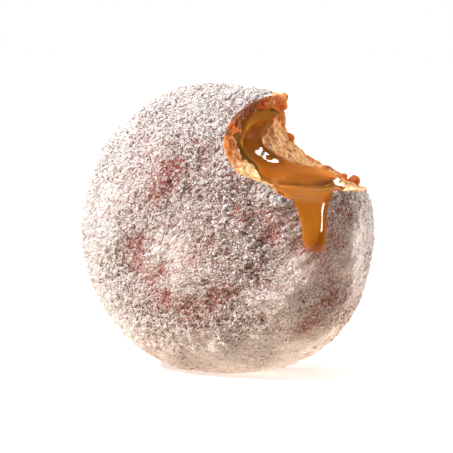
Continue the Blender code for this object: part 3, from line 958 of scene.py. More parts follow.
def make_crust(sizes, colours):
    """The crust from its far pole to the lip, in fine rows with the coat's relief, closed inside
    by the hidden wall of the filling's pocket."""
    around = full_circle(CRUST_COLUMNS)
    curve, length = meridians(around)
    shares = np.linspace(1, 0, CRUST_ROWS + 1)[1:]
    wanted = length[:, -1:] * shares
    base = along(curve, length, wanted)
    place = from_centre(base)
    height = coat_relief(place, wanted) * sizes.coat + heaps(place) * MM
    outward = unit(facing(base, wanted))
    crust = stand(base + outward * (height - worn(around[:, None], wanted))[..., None])
    ring_at = np.broadcast_to(np.array(TORN_EDGE) * MM, (len(around), 2))
    ring = along(curve, length, ring_at)
    inset = np.array(TORN_EDGE_INSET) * MM + worn(around[:, None], ring_at)
    ring = ring - facing(ring, ring_at) * inset[..., None]
    pocket = pocket_rows(curve, length, around)
    rows = np.concatenate([crust, ring, pocket[:, :-1]], axis=1)
    far_pole = curve[:, -1].mean(axis=0)
    heart = pocket[:, -1].mean(axis=0)
    crust_piece = skin_mesh("sugared_crust", far_pole, np.swapaxes(rows, 0, 1), heart)
    coat = np.full(rows.shape[:2], HIDDEN_COAT)
    # the coat is thicker on the relief's tops and thinner in its hollows, so darker there: partly thin
    # sugar, partly painted shade
    coat[:, :CRUST_ROWS] = coat_of(place) + 0.16 * np.clip(height / sizes.coat, -1.5, 1.5)
    keep_rows(crust_piece, "coat", 0.6, coat, HIDDEN_COAT)
    rough = np.ones(rows.shape[:2])
    rough[:, :CRUST_ROWS] = roughness_of(place)
    keep_rows(crust_piece, "rough", 0.8, rough, 0.8)
    settle(crust_piece, sugar_material(colours), "dough")


# The bite: crumb and filling

BITE_COLUMNS = 460
BITE_ROWS = 120
LEVEL = 1e-9  # a side of SHORE that rises less than this runs level
CRUMB_START = 0.5 * MM  # how far over the crust the crumb begins
CRUMB_BEND = 1.6  # mm by which its clods are bent out of shape
CRUMB_CLOD = 4.6  # pitch of its large clods in mm
CRUMB_SMALL_CLOD = 2.3
CRUMB_SWELLS = ((5.0, 37, 0.9), (1.5, 38, 0.7))  # pitch in mm, salt and height
CRUMB_LIP = 1.4 * MM  # over which its relief grows from the lip on
CRUMB_ENDS = (7.0, 8.4)  # mm from the bite's deepest point to where the sheet's two sides close


def at_back(around, start=0.2):
    """1 along the back of the bite and 0 along its front."""
    return ease((-np.sin(around) - start) / 0.4)


def chart(around, inward, depth):
    """Lays the bite flat, in mm: its deepest point in the middle, the lip all round."""
    out = (depth - inward) / MM
    return np.stack([out * np.cos(around), out * np.sin(around)], axis=-1)


def inside_shore(around, inward, depth):
    """How far inside the filling's edge a place of the bite is, in mm, negative outside it: the
    distance on the chart to the nearest side of SHORE, with its sign from the sides that a line
    to the right crosses. The azimuths come as a column, and so do the bite's depths at them."""
    stations = np.array(SHORE, float)
    angle = np.radians(stations[:, 0])
    rim = np.interp(angle % (2 * np.pi), around[:, 0], depth[:, 0])
    corners = chart(angle, stations[:, 1] * MM, rim)
    points = chart(around, inward, depth)
    nearest = np.full(points.shape[:-1], np.inf)
    crossings = np.zeros(points.shape[:-1], int)
    for a, b in zip(corners, np.roll(corners, -1, axis=0)):
        run = b - a
        off = points - a
        share = np.clip((off @ run) / (run @ run), 0, 1)
        nearest = np.minimum(nearest, np.linalg.norm(off - share[..., None] * run, axis=-1))
        spans = (a[1] > points[..., 1]) != (b[1] > points[..., 1])
        rise = run[1] if abs(run[1]) > LEVEL else LEVEL
        crossings += spans & (points[..., 0] < a[0] + run[0] * (points[..., 1] - a[1]) / rise)
    return np.where(crossings % 2 == 1, nearest, -nearest)


def bite_grid(curve, length, start, rows):
    """Lengths from the lip to the deepest point of the bite, in even rows."""
    deepest = length[:, :1]
    shares = np.linspace(0, 1, rows + 1)[:-1]
    wanted = start + (deepest - start) * shares
    return wanted, along(curve, length, wanted)


def make_crumb(sizes, colours):
    """The torn face of the dough: a thin closed sheet over the whole bite. Outside the filling's
    edge it stands in bumps and pits, and inside it has sunk under the filling.

    The bumps are round clods of two sizes with ridges between them, over slower swells. They are
    lower at the lip, most of all along the front."""
    around = full_circle(BITE_COLUMNS)
    curve, length = meridians(around)
    wanted, skin = bite_grid(curve, length, CRUMB_START, BITE_ROWS)
    inside = inside_shore(around[:, None], -wanted, -length[:, :1])
    place = from_centre(skin)
    bends = [cloud(place, 3.0, salt) for salt in (41, 42, 43)]
    bent = place + np.stack(bends, axis=-1) * CRUMB_BEND
    big, _ = clods(bent, CRUMB_CLOD, 31)
    near, following = clods(bent, CRUMB_SMALL_CLOD, 34)
    walls = np.exp(-((following - near) / 0.2))
    bumps = (1 - ease(big * 1.1)) * 1.4 + (1 - ease(near * 1.2)) * 0.5 + walls * 0.2
    height = (bumps - 0.7 + clouds(place, CRUMB_SWELLS)) * sizes.pores
    back = at_back(around[:, None], 0.3)
    at_lip = ease(-wanted / CRUMB_LIP)
    height = height * (0.3 + 0.7 * at_lip + 0.4 * back * (1 - at_lip))
    height = height + (0.15 + 0.35 * back) * MM - 0.7 * MM * ease(wanted / (0.5 * MM))
    from_lip = np.maximum(-wanted, 0)
    under = ease((inside + 0.15) / 1.6) * 1.6 * MM + ease((inside - 1.2) / 3) * 5.5 * MM
    height = height - np.minimum(under, 0.4 * MM + 0.6 * from_lip)
    height = height - worn(around[:, None], wanted)
    outward = facing(skin, wanted)
    top = skin + outward * height[..., None]
    hidden = slice(0, BITE_ROWS, 8)
    below = 0.5 * MM + 3 * MM * ease(from_lip / (9 * MM)) + 5 * MM * ease((inside - 1) / 4)
    below = np.minimum(below, 0.9 * MM + 0.8 * from_lip) + worn(around[:, None], wanted)
    under_side = skin - outward * below[..., None]
    rows = np.concatenate([top[:, ::-1], under_side[:, hidden]], axis=1)
    deepest = curve[:, 0].mean(axis=0)
    inward = unit(deepest - MOUTH)
    first, last = (deepest + inward * deep * MM for deep in CRUMB_ENDS)
    piece = skin_mesh("crumb", first, np.swapaxes(rows, 0, 1), last)
    # besides the soaking, this tone holds painted shade on the bite's upper left side and a painted
    # highlight on the bumps
    soaked = crumb_tone(around[:, None], wanted, height / sizes.pores, inside)
    soaked = np.concatenate([soaked[:, ::-1], soaked[:, hidden]], axis=1)
    keep_rows(piece, "soaked", 0.5, soaked, 0.5)
    ragged = np.broadcast_to(0.3 + 0.7 * at_back(around[:, None]), rows.shape[:2])
    keep_rows(piece, "ragged", 1, ragged, 1)
    settle(piece, crumb_material(colours), "dough")


TORN_LUMPS = (  # degrees round AXIS, mm over the crust from the lip, lift and radius in mm, and tone
    (336, -2.2, 0.7, 2.5, 0.65), (12, -3.0, 0.5, 2.0, 0.9), (318, -2.2, 0.4, 2.0, 0.65),
    (355, -2.6, 0.6, 2.3, 0.75), (303, -1.0, -1.0, 1.6, 0.5), (291, -0.6, -0.9, 1.5, 0.45),
    (280, -0.6, -0.3, 2.3, 0.95), (272, -1.8, -0.9, 1.6, 0.8), (262, -0.7, -0.8, 1.5, 0.7),
    (251, -0.8, -0.8, 1.4, 0.6), (242, -0.7, -0.9, 1.5, 0.9),
    (224, -1.2, 1.1, 1.9, 1.1), (231, -1.8, -0.2, 1.4, 0.9), (204, -1.6, -0.5, 1.1, 0.3),
)
LUMP_VOXEL = 0.25 * MM
LUMP_COLUMNS = 40
LUMP_ROWS = 22
LUMP_WANDERS = ((1.9, 51, 0.3), (0.8, 52, 0.1))  # pitch in mm, salt and share of the radius
LUMP_SMOOTHINGS = 3


def make_torn_lumps(colours):
    """Torn lumps that stand along the back of the lip, at its tip and at its right end: balls whose
    radius wanders by up to 0.4 of it, sunk in the crumb and joined into one body."""
    stations = np.array(TORN_LUMPS)
    curve, length = meridians(np.radians(stations[:, 0]))
    at = stations[:, 1:2] * MM
    base = along(curve, length, at)
    middles = (base + facing(base, at) * stations[:, 2, None, None] * MM)[:, 0]
    turn = np.linspace(0, np.pi, LUMP_ROWS + 2)[1:-1, None]
    around = full_circle(LUMP_COLUMNS)
    ball = np.stack(np.broadcast_arrays(
        np.sin(turn) * np.cos(around), np.sin(turn) * np.sin(around), np.cos(turn)
    ), axis=-1)
    balls = []
    for middle, radius in zip(middles, stations[:, 3] * MM):
        wander = clouds((middle + ball * radius) / MM, LUMP_WANDERS)
        rows = middle + ball * (radius * (1 + wander))[..., None]
        end = np.array((0, 0, radius))
        balls.append(skin_mesh("torn_lumps", middle + end, rows, middle - end))
    piece, points, edges = one_body(balls, LUMP_VOXEL)
    calm = smoothed(points, edges, LUMP_SMOOTHINGS)
    piece.data.vertices.foreach_set("co", calm.astype(np.float32).ravel())
    nearest = np.linalg.norm(calm[:, None] - middles, axis=-1) / (stations[:, 3] * MM)
    tone = stations[nearest.argmin(axis=1), 4] + 0.3 * cloud(calm / MM, 1.4, 53)
    keep_value(piece, "soaked", tone)
    keep_value(piece, "ragged", np.ones(len(tone)))
    settle(piece, crumb_material(colours), "dough")


SOAKING_AND_SHADE = (  # degrees round AXIS, and how soaked and browned the crumb is there; the values over 1.2, from 28 to 57, are painted shade on the bite's upper left side, which faces down away from the light
    (0, 0.75), (14, 1.1), (28, 2.0), (42, 2.5), (50, 1.9), (57, 1.2), (64, 0.9), (82, 0.7),
    (95, 0.4), (110, 0.35), (150, 0.2), (200, 0.2), (235, 0.3), (262, 0.4), (290, 0.2), (310, 0.2),
    (325, 0.2), (345, 0.3),
)


BACK_BAND = 2.8 * MM  # how far the brown of the crust reaches over the lip
FRONT_BAND = 0.6 * MM
SOAKING_REACH = 1.2  # mm outside the filling's edge
# how much paler the crumb's bumps are: a painted highlight
PAINTED_BUMP_HIGHLIGHT = 0.42


def crumb_tone(around, wanted, height, inside):
    """The tones round the axis, browner in a band along the back lip and a thin one along the front lip,
    more soaked next to the filling, and paler on the bumps as a painted highlight; on the bite's upper
    left side they hold painted shade."""
    tone = round_the_axis(around + 0 * wanted, SOAKING_AND_SHADE)
    back = at_back(around)
    skin_edge = np.exp(-((wanted / BACK_BAND) ** 2)) * back
    skin_edge = skin_edge + np.exp(-((wanted / FRONT_BAND) ** 2)) * 0.2 * (1 - back) - 0.1
    soaking = np.exp(np.minimum(inside, 0) / SOAKING_REACH) * 0.25
    return tone + skin_edge + soaking - height * PAINTED_BUMP_HIGHLIGHT


# The filling

CARAMEL_VOXEL = 0.4 * MM
POOL_ROWS = 100
POOL_SINK = 2.4 * MM  # how far the filling's surface dives under the crumb outside its edge
SMOOTHINGS = 36
DRIP_CALM = 0.2  # share of the smoothing that the drip gets, which would else grow thin
LIP_SMOOTHINGS = 320  # more of it, where the drip turns over the lip
LIP_CALM = 0.6
LIP_SPREAD = 5.4 * MM
LIP_SIDE = 17  # degrees round AXIS to each side of the drip
LIP_POINTS = 24
CAVE_FROM = 0.4 * MM  # how far above the pool the cave's own look starts
CAVE_FADE = 5 * MM
DRIP_ROWS = 50
DRIP_END_ROWS = 16
DRIP_COLUMNS = 48
DRIP_ROUND = 0.8  # under 1, the drip's sides stand steeper than half an ellipse's


def filling_rows(around, curve, length):
    """The filling's open surface: it rises from under the crumb at its edge, then has sunk into the
    cave or stands level as the pool, whichever is nearer to MOUTH. The film over the crumb thins
    out by exp(-x), and the cave deepens by 1 - exp(-x * x), with x measured past the brink."""
    wanted, skin = bite_grid(curve, length, 0.0, POOL_ROWS)
    inside = inside_shore(around[:, None], -wanted, -length[:, :1]) * MM
    on_crumb = (round_the_axis(around, BRINK) * MM)[:, None]
    past_brink = np.maximum(-wanted - on_crumb - CAVE_MARGIN, 0)
    past_brink = np.minimum(past_brink, np.maximum(inside - 0.5 * MM, 0))
    cave = CAVE * (1 - np.exp(-((past_brink / CAVE_REACH) ** 2)))
    film = FILM * (1 - np.exp(-np.maximum(inside, 0) / FILM_EDGE)) * np.exp(-past_brink / FILM_REACH)
    at_lip = ease((-wanted + 0.2 * MM) / (3.5 * MM))
    dive = POOL_SINK * ease((0.1 * MM - inside) / (1.6 * MM))
    rise = (GAP + film) * (0.15 + 0.85 * at_lip) - dive
    outward = facing(skin, wanted)
    surface = skin + outward * rise[..., None] + off_channel(skin) * cave[..., None]
    way = unit(surface - MOUTH)
    level = np.array((-POOL_SLOPE[0], -POOL_SLOPE[1], 1))
    pool_middle = CENTRE + np.array((POOL_X, 0, POOL_HEIGHT))
    down = np.minimum(way @ level, -LEAST_DOWN)
    pool = np.minimum(((pool_middle - MOUTH) @ level) / down, FARTHEST)
    off_mouth = np.linalg.norm(surface - MOUTH, axis=-1)
    reach = soft_min(off_mouth, pool, POOL_BLEND)
    reach = np.where(inside < -0.4 * MM, off_mouth, reach)
    return MOUTH + way * reach[..., None]


def drip_rows():
    """A tongue from the pool over the lip and down the crust. Its section is a half ellipse on the
    surface that it runs over, and both its width and its height close in a round end."""
    straight = np.linspace(DRIP_ROOT, DRIP_LENGTH - DRIP_TIP, DRIP_ROWS)
    bend = np.sin(np.linspace(0, np.pi / 2, DRIP_END_ROWS)[1:-1])
    down = np.concatenate([straight, DRIP_LENGTH - DRIP_TIP + DRIP_TIP * bend])
    section = full_circle(DRIP_COLUMNS)
    below_lip = np.maximum(down, 0)
    tip = np.clip((down - DRIP_LENGTH + DRIP_TIP) / DRIP_TIP, 0, 1)
    closing = np.sqrt(1 - tip**2)
    half = (DRIP_HALF + DRIP_FLARE * np.exp(-below_lip / DRIP_FLARE_LENGTH)) * closing
    middle = DRIP_AZIMUTH + DRIP_SWING * below_lip / MM
    thick = DRIP_THIN + (DRIP_THICK - DRIP_THIN) * ease(below_lip / (DRIP_LENGTH - DRIP_TIP))
    rise = DRIP_SUNK + (1 - DRIP_SUNK) * ease((down - DRIP_ROOT) / -DRIP_ROOT)
    around = np.radians(middle[:, None] + half[:, None] * np.cos(section))
    lift = LIP_LIFT * np.exp(-below_lip / DRIP_FLARE_LENGTH) - 0.6 * MM * ease(below_lip / (3 * MM))
    crown = np.maximum(np.sin(section), 0) ** DRIP_ROUND
    height = lift[:, None] + (thick * closing * rise)[:, None] * crown
    lengths = np.broadcast_to(down[:, None], around.shape)
    curve, length = meridians(around.ravel())
    base = along(curve, length, lengths.reshape(-1, 1)).reshape(*around.shape, 3)
    points = base + facing(base, lengths) * height[..., None]
    end_around = np.radians([DRIP_AZIMUTH + DRIP_SWING * DRIP_LENGTH / MM])
    curve, length = meridians(end_around)
    end = along(curve, length, np.array([[DRIP_LENGTH]]))[0, 0]
    return points[0].mean(axis=0), points, end


def over_the_lip(points):
    """1 where the drip turns over the lip, fading to 0 within a few mm of it."""
    sides = np.linspace(DRIP_AZIMUTH - LIP_SIDE, DRIP_AZIMUTH + LIP_SIDE, LIP_POINTS)
    around = np.radians(sides)
    curve, length = meridians(around)
    lip = along(curve, length, np.full((len(around), 1), -0.5 * MM))[:, 0]
    nearest = np.full(len(points), np.inf)
    for place in lip:
        nearest = np.minimum(nearest, np.linalg.norm(points - place, axis=-1))
    return np.exp(-((nearest / LIP_SPREAD) ** 2))


DULL_LINES = (  # where the pool's rim has dried dull: points as x, y, z in mm from CENTRE
    ((24.5, -20.5, 14.6), (30, -19.5, 14), (35.5, -18.5, 14.5)),
    ((21.5, -18, 15.2), (26, -13.5, 15), (32, -12, 14.8), (38, -12, 15)),
    ((18, 14.5, 20), (24, 15.5, 18.2), (31.5, 11.6, 16.6)),
)
DULL_SPREAD = 2.8
CAVE_DULL_FROM = 26.5  # mm above CENTRE
CAVE_DULL_FADE = 6.0


def dull_of(place):
    """How dull the filling is, from 0 to 1: its thin dried skin in the cave and along the rim."""
    dull = ease((place[:, 2] - CAVE_DULL_FROM) / CAVE_DULL_FADE)
    for line in DULL_LINES:
        for start, end in zip(line[:-1], line[1:]):
            run = np.subtract(end, start)
            share = np.clip((place - start) @ run / (run @ run), 0, 1)
            off = np.linalg.norm(place - start - share[:, None] * run, axis=-1)
            dull = np.maximum(dull, ease(1.6 - off / DULL_SPREAD))
    return dull


SUN_SHARES = (1.0, 0.6)  # how much of the key sun and of the rim sun the reckoning counts
SKY_RAYS = 28
SKY_ROUND = 0.3  # about what the world gives in every direction
SKY_BELOW = 3.5  # about what it adds to that from below
BOUNCED = 0.15  # light that reaches the filling from the dough round it
FEELERS = (3.5, 5, 7, 9.5, 12.5, 16, 20, 25, 31, 38)  # mm along a ray where dough is looked for
SHADOW_SOFT = 2 * MM  # over which the dough's edge lets the light by
SHADOW_GRAZED = 0.4  # the share of SHADOW_SOFT that lies inside the dough


def light_on(points, normals):
    """Roughly how much light falls on each point past the dough, with 1 for a lit grey card: the
    sum over the suns and evenly spread sky rays of strength times cosine times how clear of the
    dough the ray runs."""
    right, forward, up = camera_axes()
    rays = []
    for (away, strength, _, _), share in zip((KEY_SUN, RIM_SUN), SUN_SHARES):
        side, height, near = away
        rays.append((unit(right * side + up * height - forward * near), strength / np.pi * share))
    for n in range(SKY_RAYS):
        height = 1 - (2 * n + 1) / SKY_RAYS
        turn = n * np.pi * (3 - np.sqrt(5))
        out = np.sqrt(1 - height * height)
        towards = np.array((out * np.cos(turn), out * np.sin(turn), height))
        overhead = OVERHEAD_LIGHT * ease((height - OVERHEAD_FROM) / OVERHEAD_FADE)
        sky = SKY_ROUND + overhead + SKY_BELOW * ease((-height - BELOW_FROM) / BELOW_FADE)
        rays.append((towards, sky * 4 / SKY_RAYS))
    total = np.full(len(points), BOUNCED)
    for towards, strength in rays:
        cosine = np.clip(normals @ towards, 0, 1)
        seen = np.flatnonzero(cosine)
        clear = np.full(len(seen), np.inf)
        for far in FEELERS:
            place = points[seen] + towards * far * MM
            clear = np.minimum(clear, np.maximum(body_field(place), -bite_field(place)))
        total[seen] += strength * cosine[seen] * ease(clear / SHADOW_SOFT + SHADOW_GRAZED)
    return total


EVEN_LIGHT = 1.2  # the light on the pool that the rest is evened to
CAVE_DARKER = 0.6  # how much less light the cave is evened to
EVENING_POWER = 1.25
LEAST_SHARE = 0.05
FRONT_PAINTED_SHADE = 0.22  # painted shade: how much darker the filling is kept from FRONT_FROM in front of CENTRE on, over the drip and the front of the pool
FRONT_FROM = 6 * MM
FRONT_FADE = 6 * MM
LIGHT_SMOOTHINGS = 60


def painted_shade_share(points, normals, edges, in_cave):
    """How much of its colour each point of the filling gives up, from 0 to 1.

    It takes back most of what the light adds to the brighter places, as the photograph shows the
    filling in one even tone, and a darker one in the cave."""
    light = smoothed(light_on(points, normals)[:, None], edges, LIGHT_SMOOTHINGS)[:, 0]
    forward = ease((CENTRE[1] - points[:, 1] - FRONT_FROM) / FRONT_FADE)
    wanted = EVEN_LIGHT * (1 - CAVE_DARKER * in_cave)
    # painted shade: less of the colour is kept where more light is reckoned, in the cave and in front
    share = np.clip(wanted / light, LEAST_SHARE, 1) ** EVENING_POWER * (1 - FRONT_PAINTED_SHADE * forward)
    return 1 - share


def make_caramel(colours):
    """The pool, the cave and the drip, joined into one body and smoothed as a liquid is."""
    around = full_circle(BITE_COLUMNS)
    curve, length = meridians(around)
    top = filling_rows(around, curve, length)
    pocket = pocket_rows(curve, length, around)
    rows = np.concatenate([top[:, ::-1], pocket[:, :-1]], axis=1)
    deepest = top[:, -1].mean(axis=0)
    heart = pocket[:, -1].mean(axis=0)
    body = skin_mesh("dulce_de_leche_looks", deepest, np.swapaxes(rows, 0, 1), heart)
    drip = skin_mesh("drip", *drip_rows())
    body, points, edges = one_body([body, drip], CARAMEL_VOXEL)
    on_crust = ease((body_field(points) + 1.5 * MM) / (2 * MM))
    calm = smoothed(points, edges, SMOOTHINGS, 0.5 - 0.5 * (1 - DRIP_CALM) * on_crust)
    calm = smoothed_in_part(calm, edges, LIP_SMOOTHINGS, LIP_CALM * over_the_lip(calm))
    body.data.vertices.foreach_set("co", calm.astype(np.float32).ravel())
    level = unit(np.array((-POOL_SLOPE[0], -POOL_SLOPE[1], 1)))
    above = (calm - CENTRE) @ level - np.array((POOL_X, 0, POOL_HEIGHT)) @ level
    normals = np.empty(3 * len(calm), np.float32)
    body.data.update()
    body.data.vertex_normals.foreach_get("vector", normals)
    normals = normals.reshape(-1, 3).astype(float)
    in_cave = ease((above - CAVE_FROM) / CAVE_FADE)
    # painted shade: these values darken the colour where more light is reckoned, and in the cave
    keep_value(body, "evened", painted_shade_share(calm, normals, edges, in_cave))
    keep_value(body, "deep", in_cave)
    keep_value(body, "dull", dull_of(from_centre(calm)))
    settle(body, caramel_material(colours), "dulce_de_leche")


# Scattered sugar

GRAIN_SUNK = 0.15  # how far the middle of a grain lies under the coat, in widths of the grain
GRAIN_CORNERS = 6
SPOT_COLUMNS = 360
SPOT_ROWS = 260
JITTER = 0.25 * MM  # how far a spot strays from its point of the grid
WIDTH_SPREADS = (0.3, 0.28)  # how much the widths of grains, then of clumps, vary


def octahedra(name, middles, sizes, turns):
    """Small eight-sided lumps, each with its own three widths and its own turn."""
    corners = np.concatenate([np.eye(3), -np.eye(3)])[[0, 3, 1, 4, 2, 5]]
    faces = np.array((
        (0, 2, 4), (2, 1, 4), (1, 3, 4), (3, 0, 4), (2, 0, 5), (1, 2, 5), (3, 1, 5), (0, 3, 5),
    ))
    points = np.einsum("nij,cj->nci", turns, corners) * sizes[:, None, :] / 2 + middles[:, None, :]
    first = np.arange(len(middles))[:, None, None] * GRAIN_CORNERS
    triangles = (faces[None] + first).reshape(-1, 3)
    return fill_mesh(name, points.reshape(-1, 3), np.empty((0, 4), int), triangles)


def random_turns(rng, count):
    """Turn matrices from random unit quaternions."""
    w, x, y, z = unit(rng.normal(size=(count, 4))).T
    return np.stack([
        np.stack([1 - 2 * (y * y + z * z), 2 * (x * y - z * w), 2 * (x * z + y * w)], -1),
        np.stack([2 * (x * y + z * w), 1 - 2 * (x * x + z * z), 2 * (y * z - x * w)], -1),
        np.stack([2 * (x * z - y * w), 2 * (y * z + x * w), 1 - 2 * (x * x + y * y)], -1),
    ], 1)


def crust_spots(rng, count):
    """Places spread evenly over the crust, with its outward directions: points of a fine grid,
    chosen in proportion to the area round each."""
    around = full_circle(SPOT_COLUMNS)
    curve, length = meridians(around)
    wanted = length[:, -1:] * np.linspace(0.004, 0.995, SPOT_ROWS)
    base = along(curve, length, wanted)
    across = np.linalg.norm(np.roll(base, -1, axis=0) - np.roll(base, 1, axis=0), axis=-1)
    weight = (across * length[:, -1:]).ravel()
    chosen = rng.choice(weight.size, size=count, p=weight / weight.sum())
    column, row = np.unravel_index(chosen, across.shape)
    rng.uniform(-0.5, 0.5, (2, count))  # drawn and not used, which keeps the later draws as they are
    spots = base[column, row]
    jitter = rng.normal(size=(count, 3)) * JITTER
    outward = uphill(body_field, spots)
    spots = spots + jitter - outward * np.sum(jitter * outward, axis=-1, keepdims=True)
    return spots, outward, wanted[column, row], worn(around[column], wanted[column, row])


def make_grains(sizes, colours):
    """Grains and clumps of sugar, thick where the coat is thick and few where it is thin."""
    rng = np.random.default_rng(7)
    material = grain_material(colours)
    kinds = (
        ("sugar_grains", sizes.grains, sizes.grain),
        ("sugar_clumps", sizes.clumps, sizes.clump),
    )
    for (name, count, width), spread in zip(kinds, WIDTH_SPREADS):
        spots, outward, length, pressed = crust_spots(rng, count * 2)
        place = from_centre(spots)
        coat = coat_of(place)
        kept = np.flatnonzero(rng.uniform(size=len(spots)) < ease((coat - 0.1) / 0.6))[:count]
        spots, outward, length, place = spots[kept], outward[kept], length[kept], place[kept]
        height = coat_relief(place, length) * sizes.coat + heaps(place) * MM - pressed[kept]
        wide = width * np.exp(rng.normal(size=len(spots)) * spread)
        middles = spots + outward * (height - wide * GRAIN_SUNK)[:, None]
        size = wide[:, None] * rng.uniform(0.6, 1.25, (len(spots), 3))
        keep_up = middles[:, 2] > size.max(axis=1) / 2 + 0.1 * MM
        turns = random_turns(rng, keep_up.sum())
        piece = octahedra(name, middles[keep_up], size[keep_up], turns)
        # each grain's shade follows the coat, with its painted light and painted shade, plus a random
        # part
        shade = np.clip(coat[kept][keep_up] * 1.1 + rng.normal(size=keep_up.sum()) * 0.45, 0, 1)
        keep_value(piece, "shade", np.repeat(shade, GRAIN_CORNERS))
        settle(piece, material, "dough")


# The studio

PHOTO_SIDE = 453  # pixels
TURN = 17.0  # degrees that the viewer stands to the right of the face's axis
TILT = 7.0  # degrees that the viewer looks down
DISTANCE = 0.55
FOCAL_PIXELS = 1790.64
SENSOR = 36.0  # mm
AIM = (-0.46, 1.07)  # mm right and up of CENTRE that the middle of the picture looks at
# Where a sun stands as right, up and nearer, its strength, its width in degrees and its colour
KEY_SUN = ((-0.70, 0.62, 0.26), 6.3, 4, (0.93, 0.98, 1.0))
RIM_SUN = ((0.74, 0.1, -0.68), 6.5, 10, (0.95, 0.98, 1.0))
SUN_DISTANCE = 0.3
LEAST_LIGHT = 0.07  # the world's light in every direction, then what is added to it
LEFT_LIGHT = 0.15
ABOVE_LIGHT = 0.25
OVERHEAD_LIGHT = 1.85
OVERHEAD_FROM = 0.55  # upward part of a direction from which the overhead light grows
OVERHEAD_FADE = 0.4
BELOW_FROM = 0.2  # downward part from which the light from below grows
BELOW_FADE = 0.8
UPPER_LIGHT = (1.0, 0.975, 0.96)  # colour of the light from above and from the left
LOWER_LIGHT = (4.7, 3.7, 2.9)  # the light from below, which a pale floor throws back
MIRRORED = (0.12, 0.12, 0.12)  # the share of all that light which glossy surfaces mirror
WINDOWS = (  # direction as right, up and nearer, angle from middle to edge in degrees, brightness
    ((0.87, 0.26, 0.41), 8.5, 16),
    ((0.14, 0.28, -0.95), 4.5, 5),
)
WINDOW_FADE = 1.5  # degrees to each side of a window's edge
WHITE = (1.0, 1.0, 1.0)
FLOOR_SIDE = 3.0  # half of it, in metres
FLOOR_COLOUR = (0.93, 0.93, 0.93, 1)
FLOOR_GLOW = 0.3


def camera_axes():
    """The directions right, forward and up of the viewer."""
    turn, tilt = np.radians((TURN, TILT))
    right = np.array((np.cos(turn), np.sin(turn), 0))
    forward = np.array((-np.sin(turn) * np.cos(tilt), np.cos(turn) * np.cos(tilt), -np.sin(tilt)))
    return right, forward, np.cross(right, forward)


def aim(thing, backward, upward):
    """Turns a camera or light so that its -Z looks against backward."""
    z = Vector(backward).normalized()
    x = Vector(upward).cross(z).normalized()
    y = z.cross(x)
    thing.rotation_euler = Matrix((x, y, z)).transposed().to_euler()


def make_camera():
    """The photograph's own view of the doughnut, with the lens that its frame asks for."""
    right, forward, up = camera_axes()
    camera = bpy.data.objects.new("camera", bpy.data.cameras.new("camera"))
    camera.data.sensor_width = SENSOR
    camera.data.lens = FOCAL_PIXELS * SENSOR / PHOTO_SIDE
    camera.data.clip_start = 0.01
    target = CENTRE + (right * AIM[0] + up * AIM[1]) * MM
    camera.location = target - forward * DISTANCE
    aim(camera, -forward, up)
    bpy.context.scene.collection.objects.link(camera)
    bpy.context.scene.camera = camera


def make_sun(name, towards, strength, spread, colour):
    """A distant light that comes from a direction given as right, up and nearer to the viewer."""
    right, forward, up = camera_axes()
    sun = bpy.data.objects.new(name, bpy.data.lights.new(name, "SUN"))
    sun.data.energy = strength
    sun.data.angle = np.radians(spread)
    sun.data.color = colour
    where = right * towards[0] + up * towards[1] - forward * towards[2]
    aim(sun, where, (0, 0, 1) if abs(where[2]) < 0.95 * np.linalg.norm(where) else (0, 1, 0))
    sun.location = CENTRE + unit(where) * SUN_DISTANCE
    sun.visible_glossy = False
    bpy.context.scene.collection.objects.link(sun)


def make_world():
    """White behind everything. The light is bright from overhead and from below and dim from the
    sides, a little less so from the left. Glossy surfaces mirror it darkened, with two bright
    windows."""
    world = bpy.data.worlds.new("studio")
    world.use_nodes = True
    bpy.context.scene.world = world
    maker = Maker(world.node_tree)
    right, forward, up = camera_axes()
    way = maker.add("ShaderNodeTexCoord", output="Generated")

    def towards(direction):
        return maker.add(
            "ShaderNodeVectorMath", {"operation": "DOT_PRODUCT"}, {0: way, 1: tuple(direction)}, "Value"
        )

    above = maker.step(towards((0, 0, 1)), -0.1, 1.0)
    overhead = maker.step(towards((0, 0, 1)), OVERHEAD_FROM, OVERHEAD_FROM + OVERHEAD_FADE)
    left = maker.step(towards(unit(-right * 0.9 + forward * 0.3)), -0.2, 1.0)
    below = maker.step(towards((0, 0, -1)), BELOW_FROM, BELOW_FROM + BELOW_FADE)
    light = above * ABOVE_LIGHT + overhead * OVERHEAD_LIGHT + left * LEFT_LIGHT + LEAST_LIGHT
    upper = maker.blend(1.0, light, UPPER_LIGHT, "MULTIPLY")
    lower = maker.blend(1.0, below, LOWER_LIGHT, "MULTIPLY")
    around = maker.blend(1.0, upper, lower, "ADD")
    mirrored = maker.add("ShaderNodeLightPath", output="Is Glossy Ray")
    dim = maker.blend(1.0, around, MIRRORED, "MULTIPLY")
    windows = 0.0
    for (across, high, near), radius, bright in WINDOWS:
        facing_it = towards(unit(right * across + up * high - forward * near))
        edge = np.radians((radius + WINDOW_FADE, radius - WINDOW_FADE))
        windows = maker.step(facing_it, *np.cos(edge).tolist()) * bright + windows
    dim = maker.blend(1.0, dim, windows, "ADD")
    around = maker.blend(mirrored, around, dim)
    seen = maker.add("ShaderNodeLightPath", output="Is Camera Ray")
    background = world.node_tree.nodes["Background"]
    colour = maker.blend(seen, around, WHITE)
    world.node_tree.links.new(colour.socket, background.inputs["Color"])
    background.inputs["Strength"].default_value = 1.0


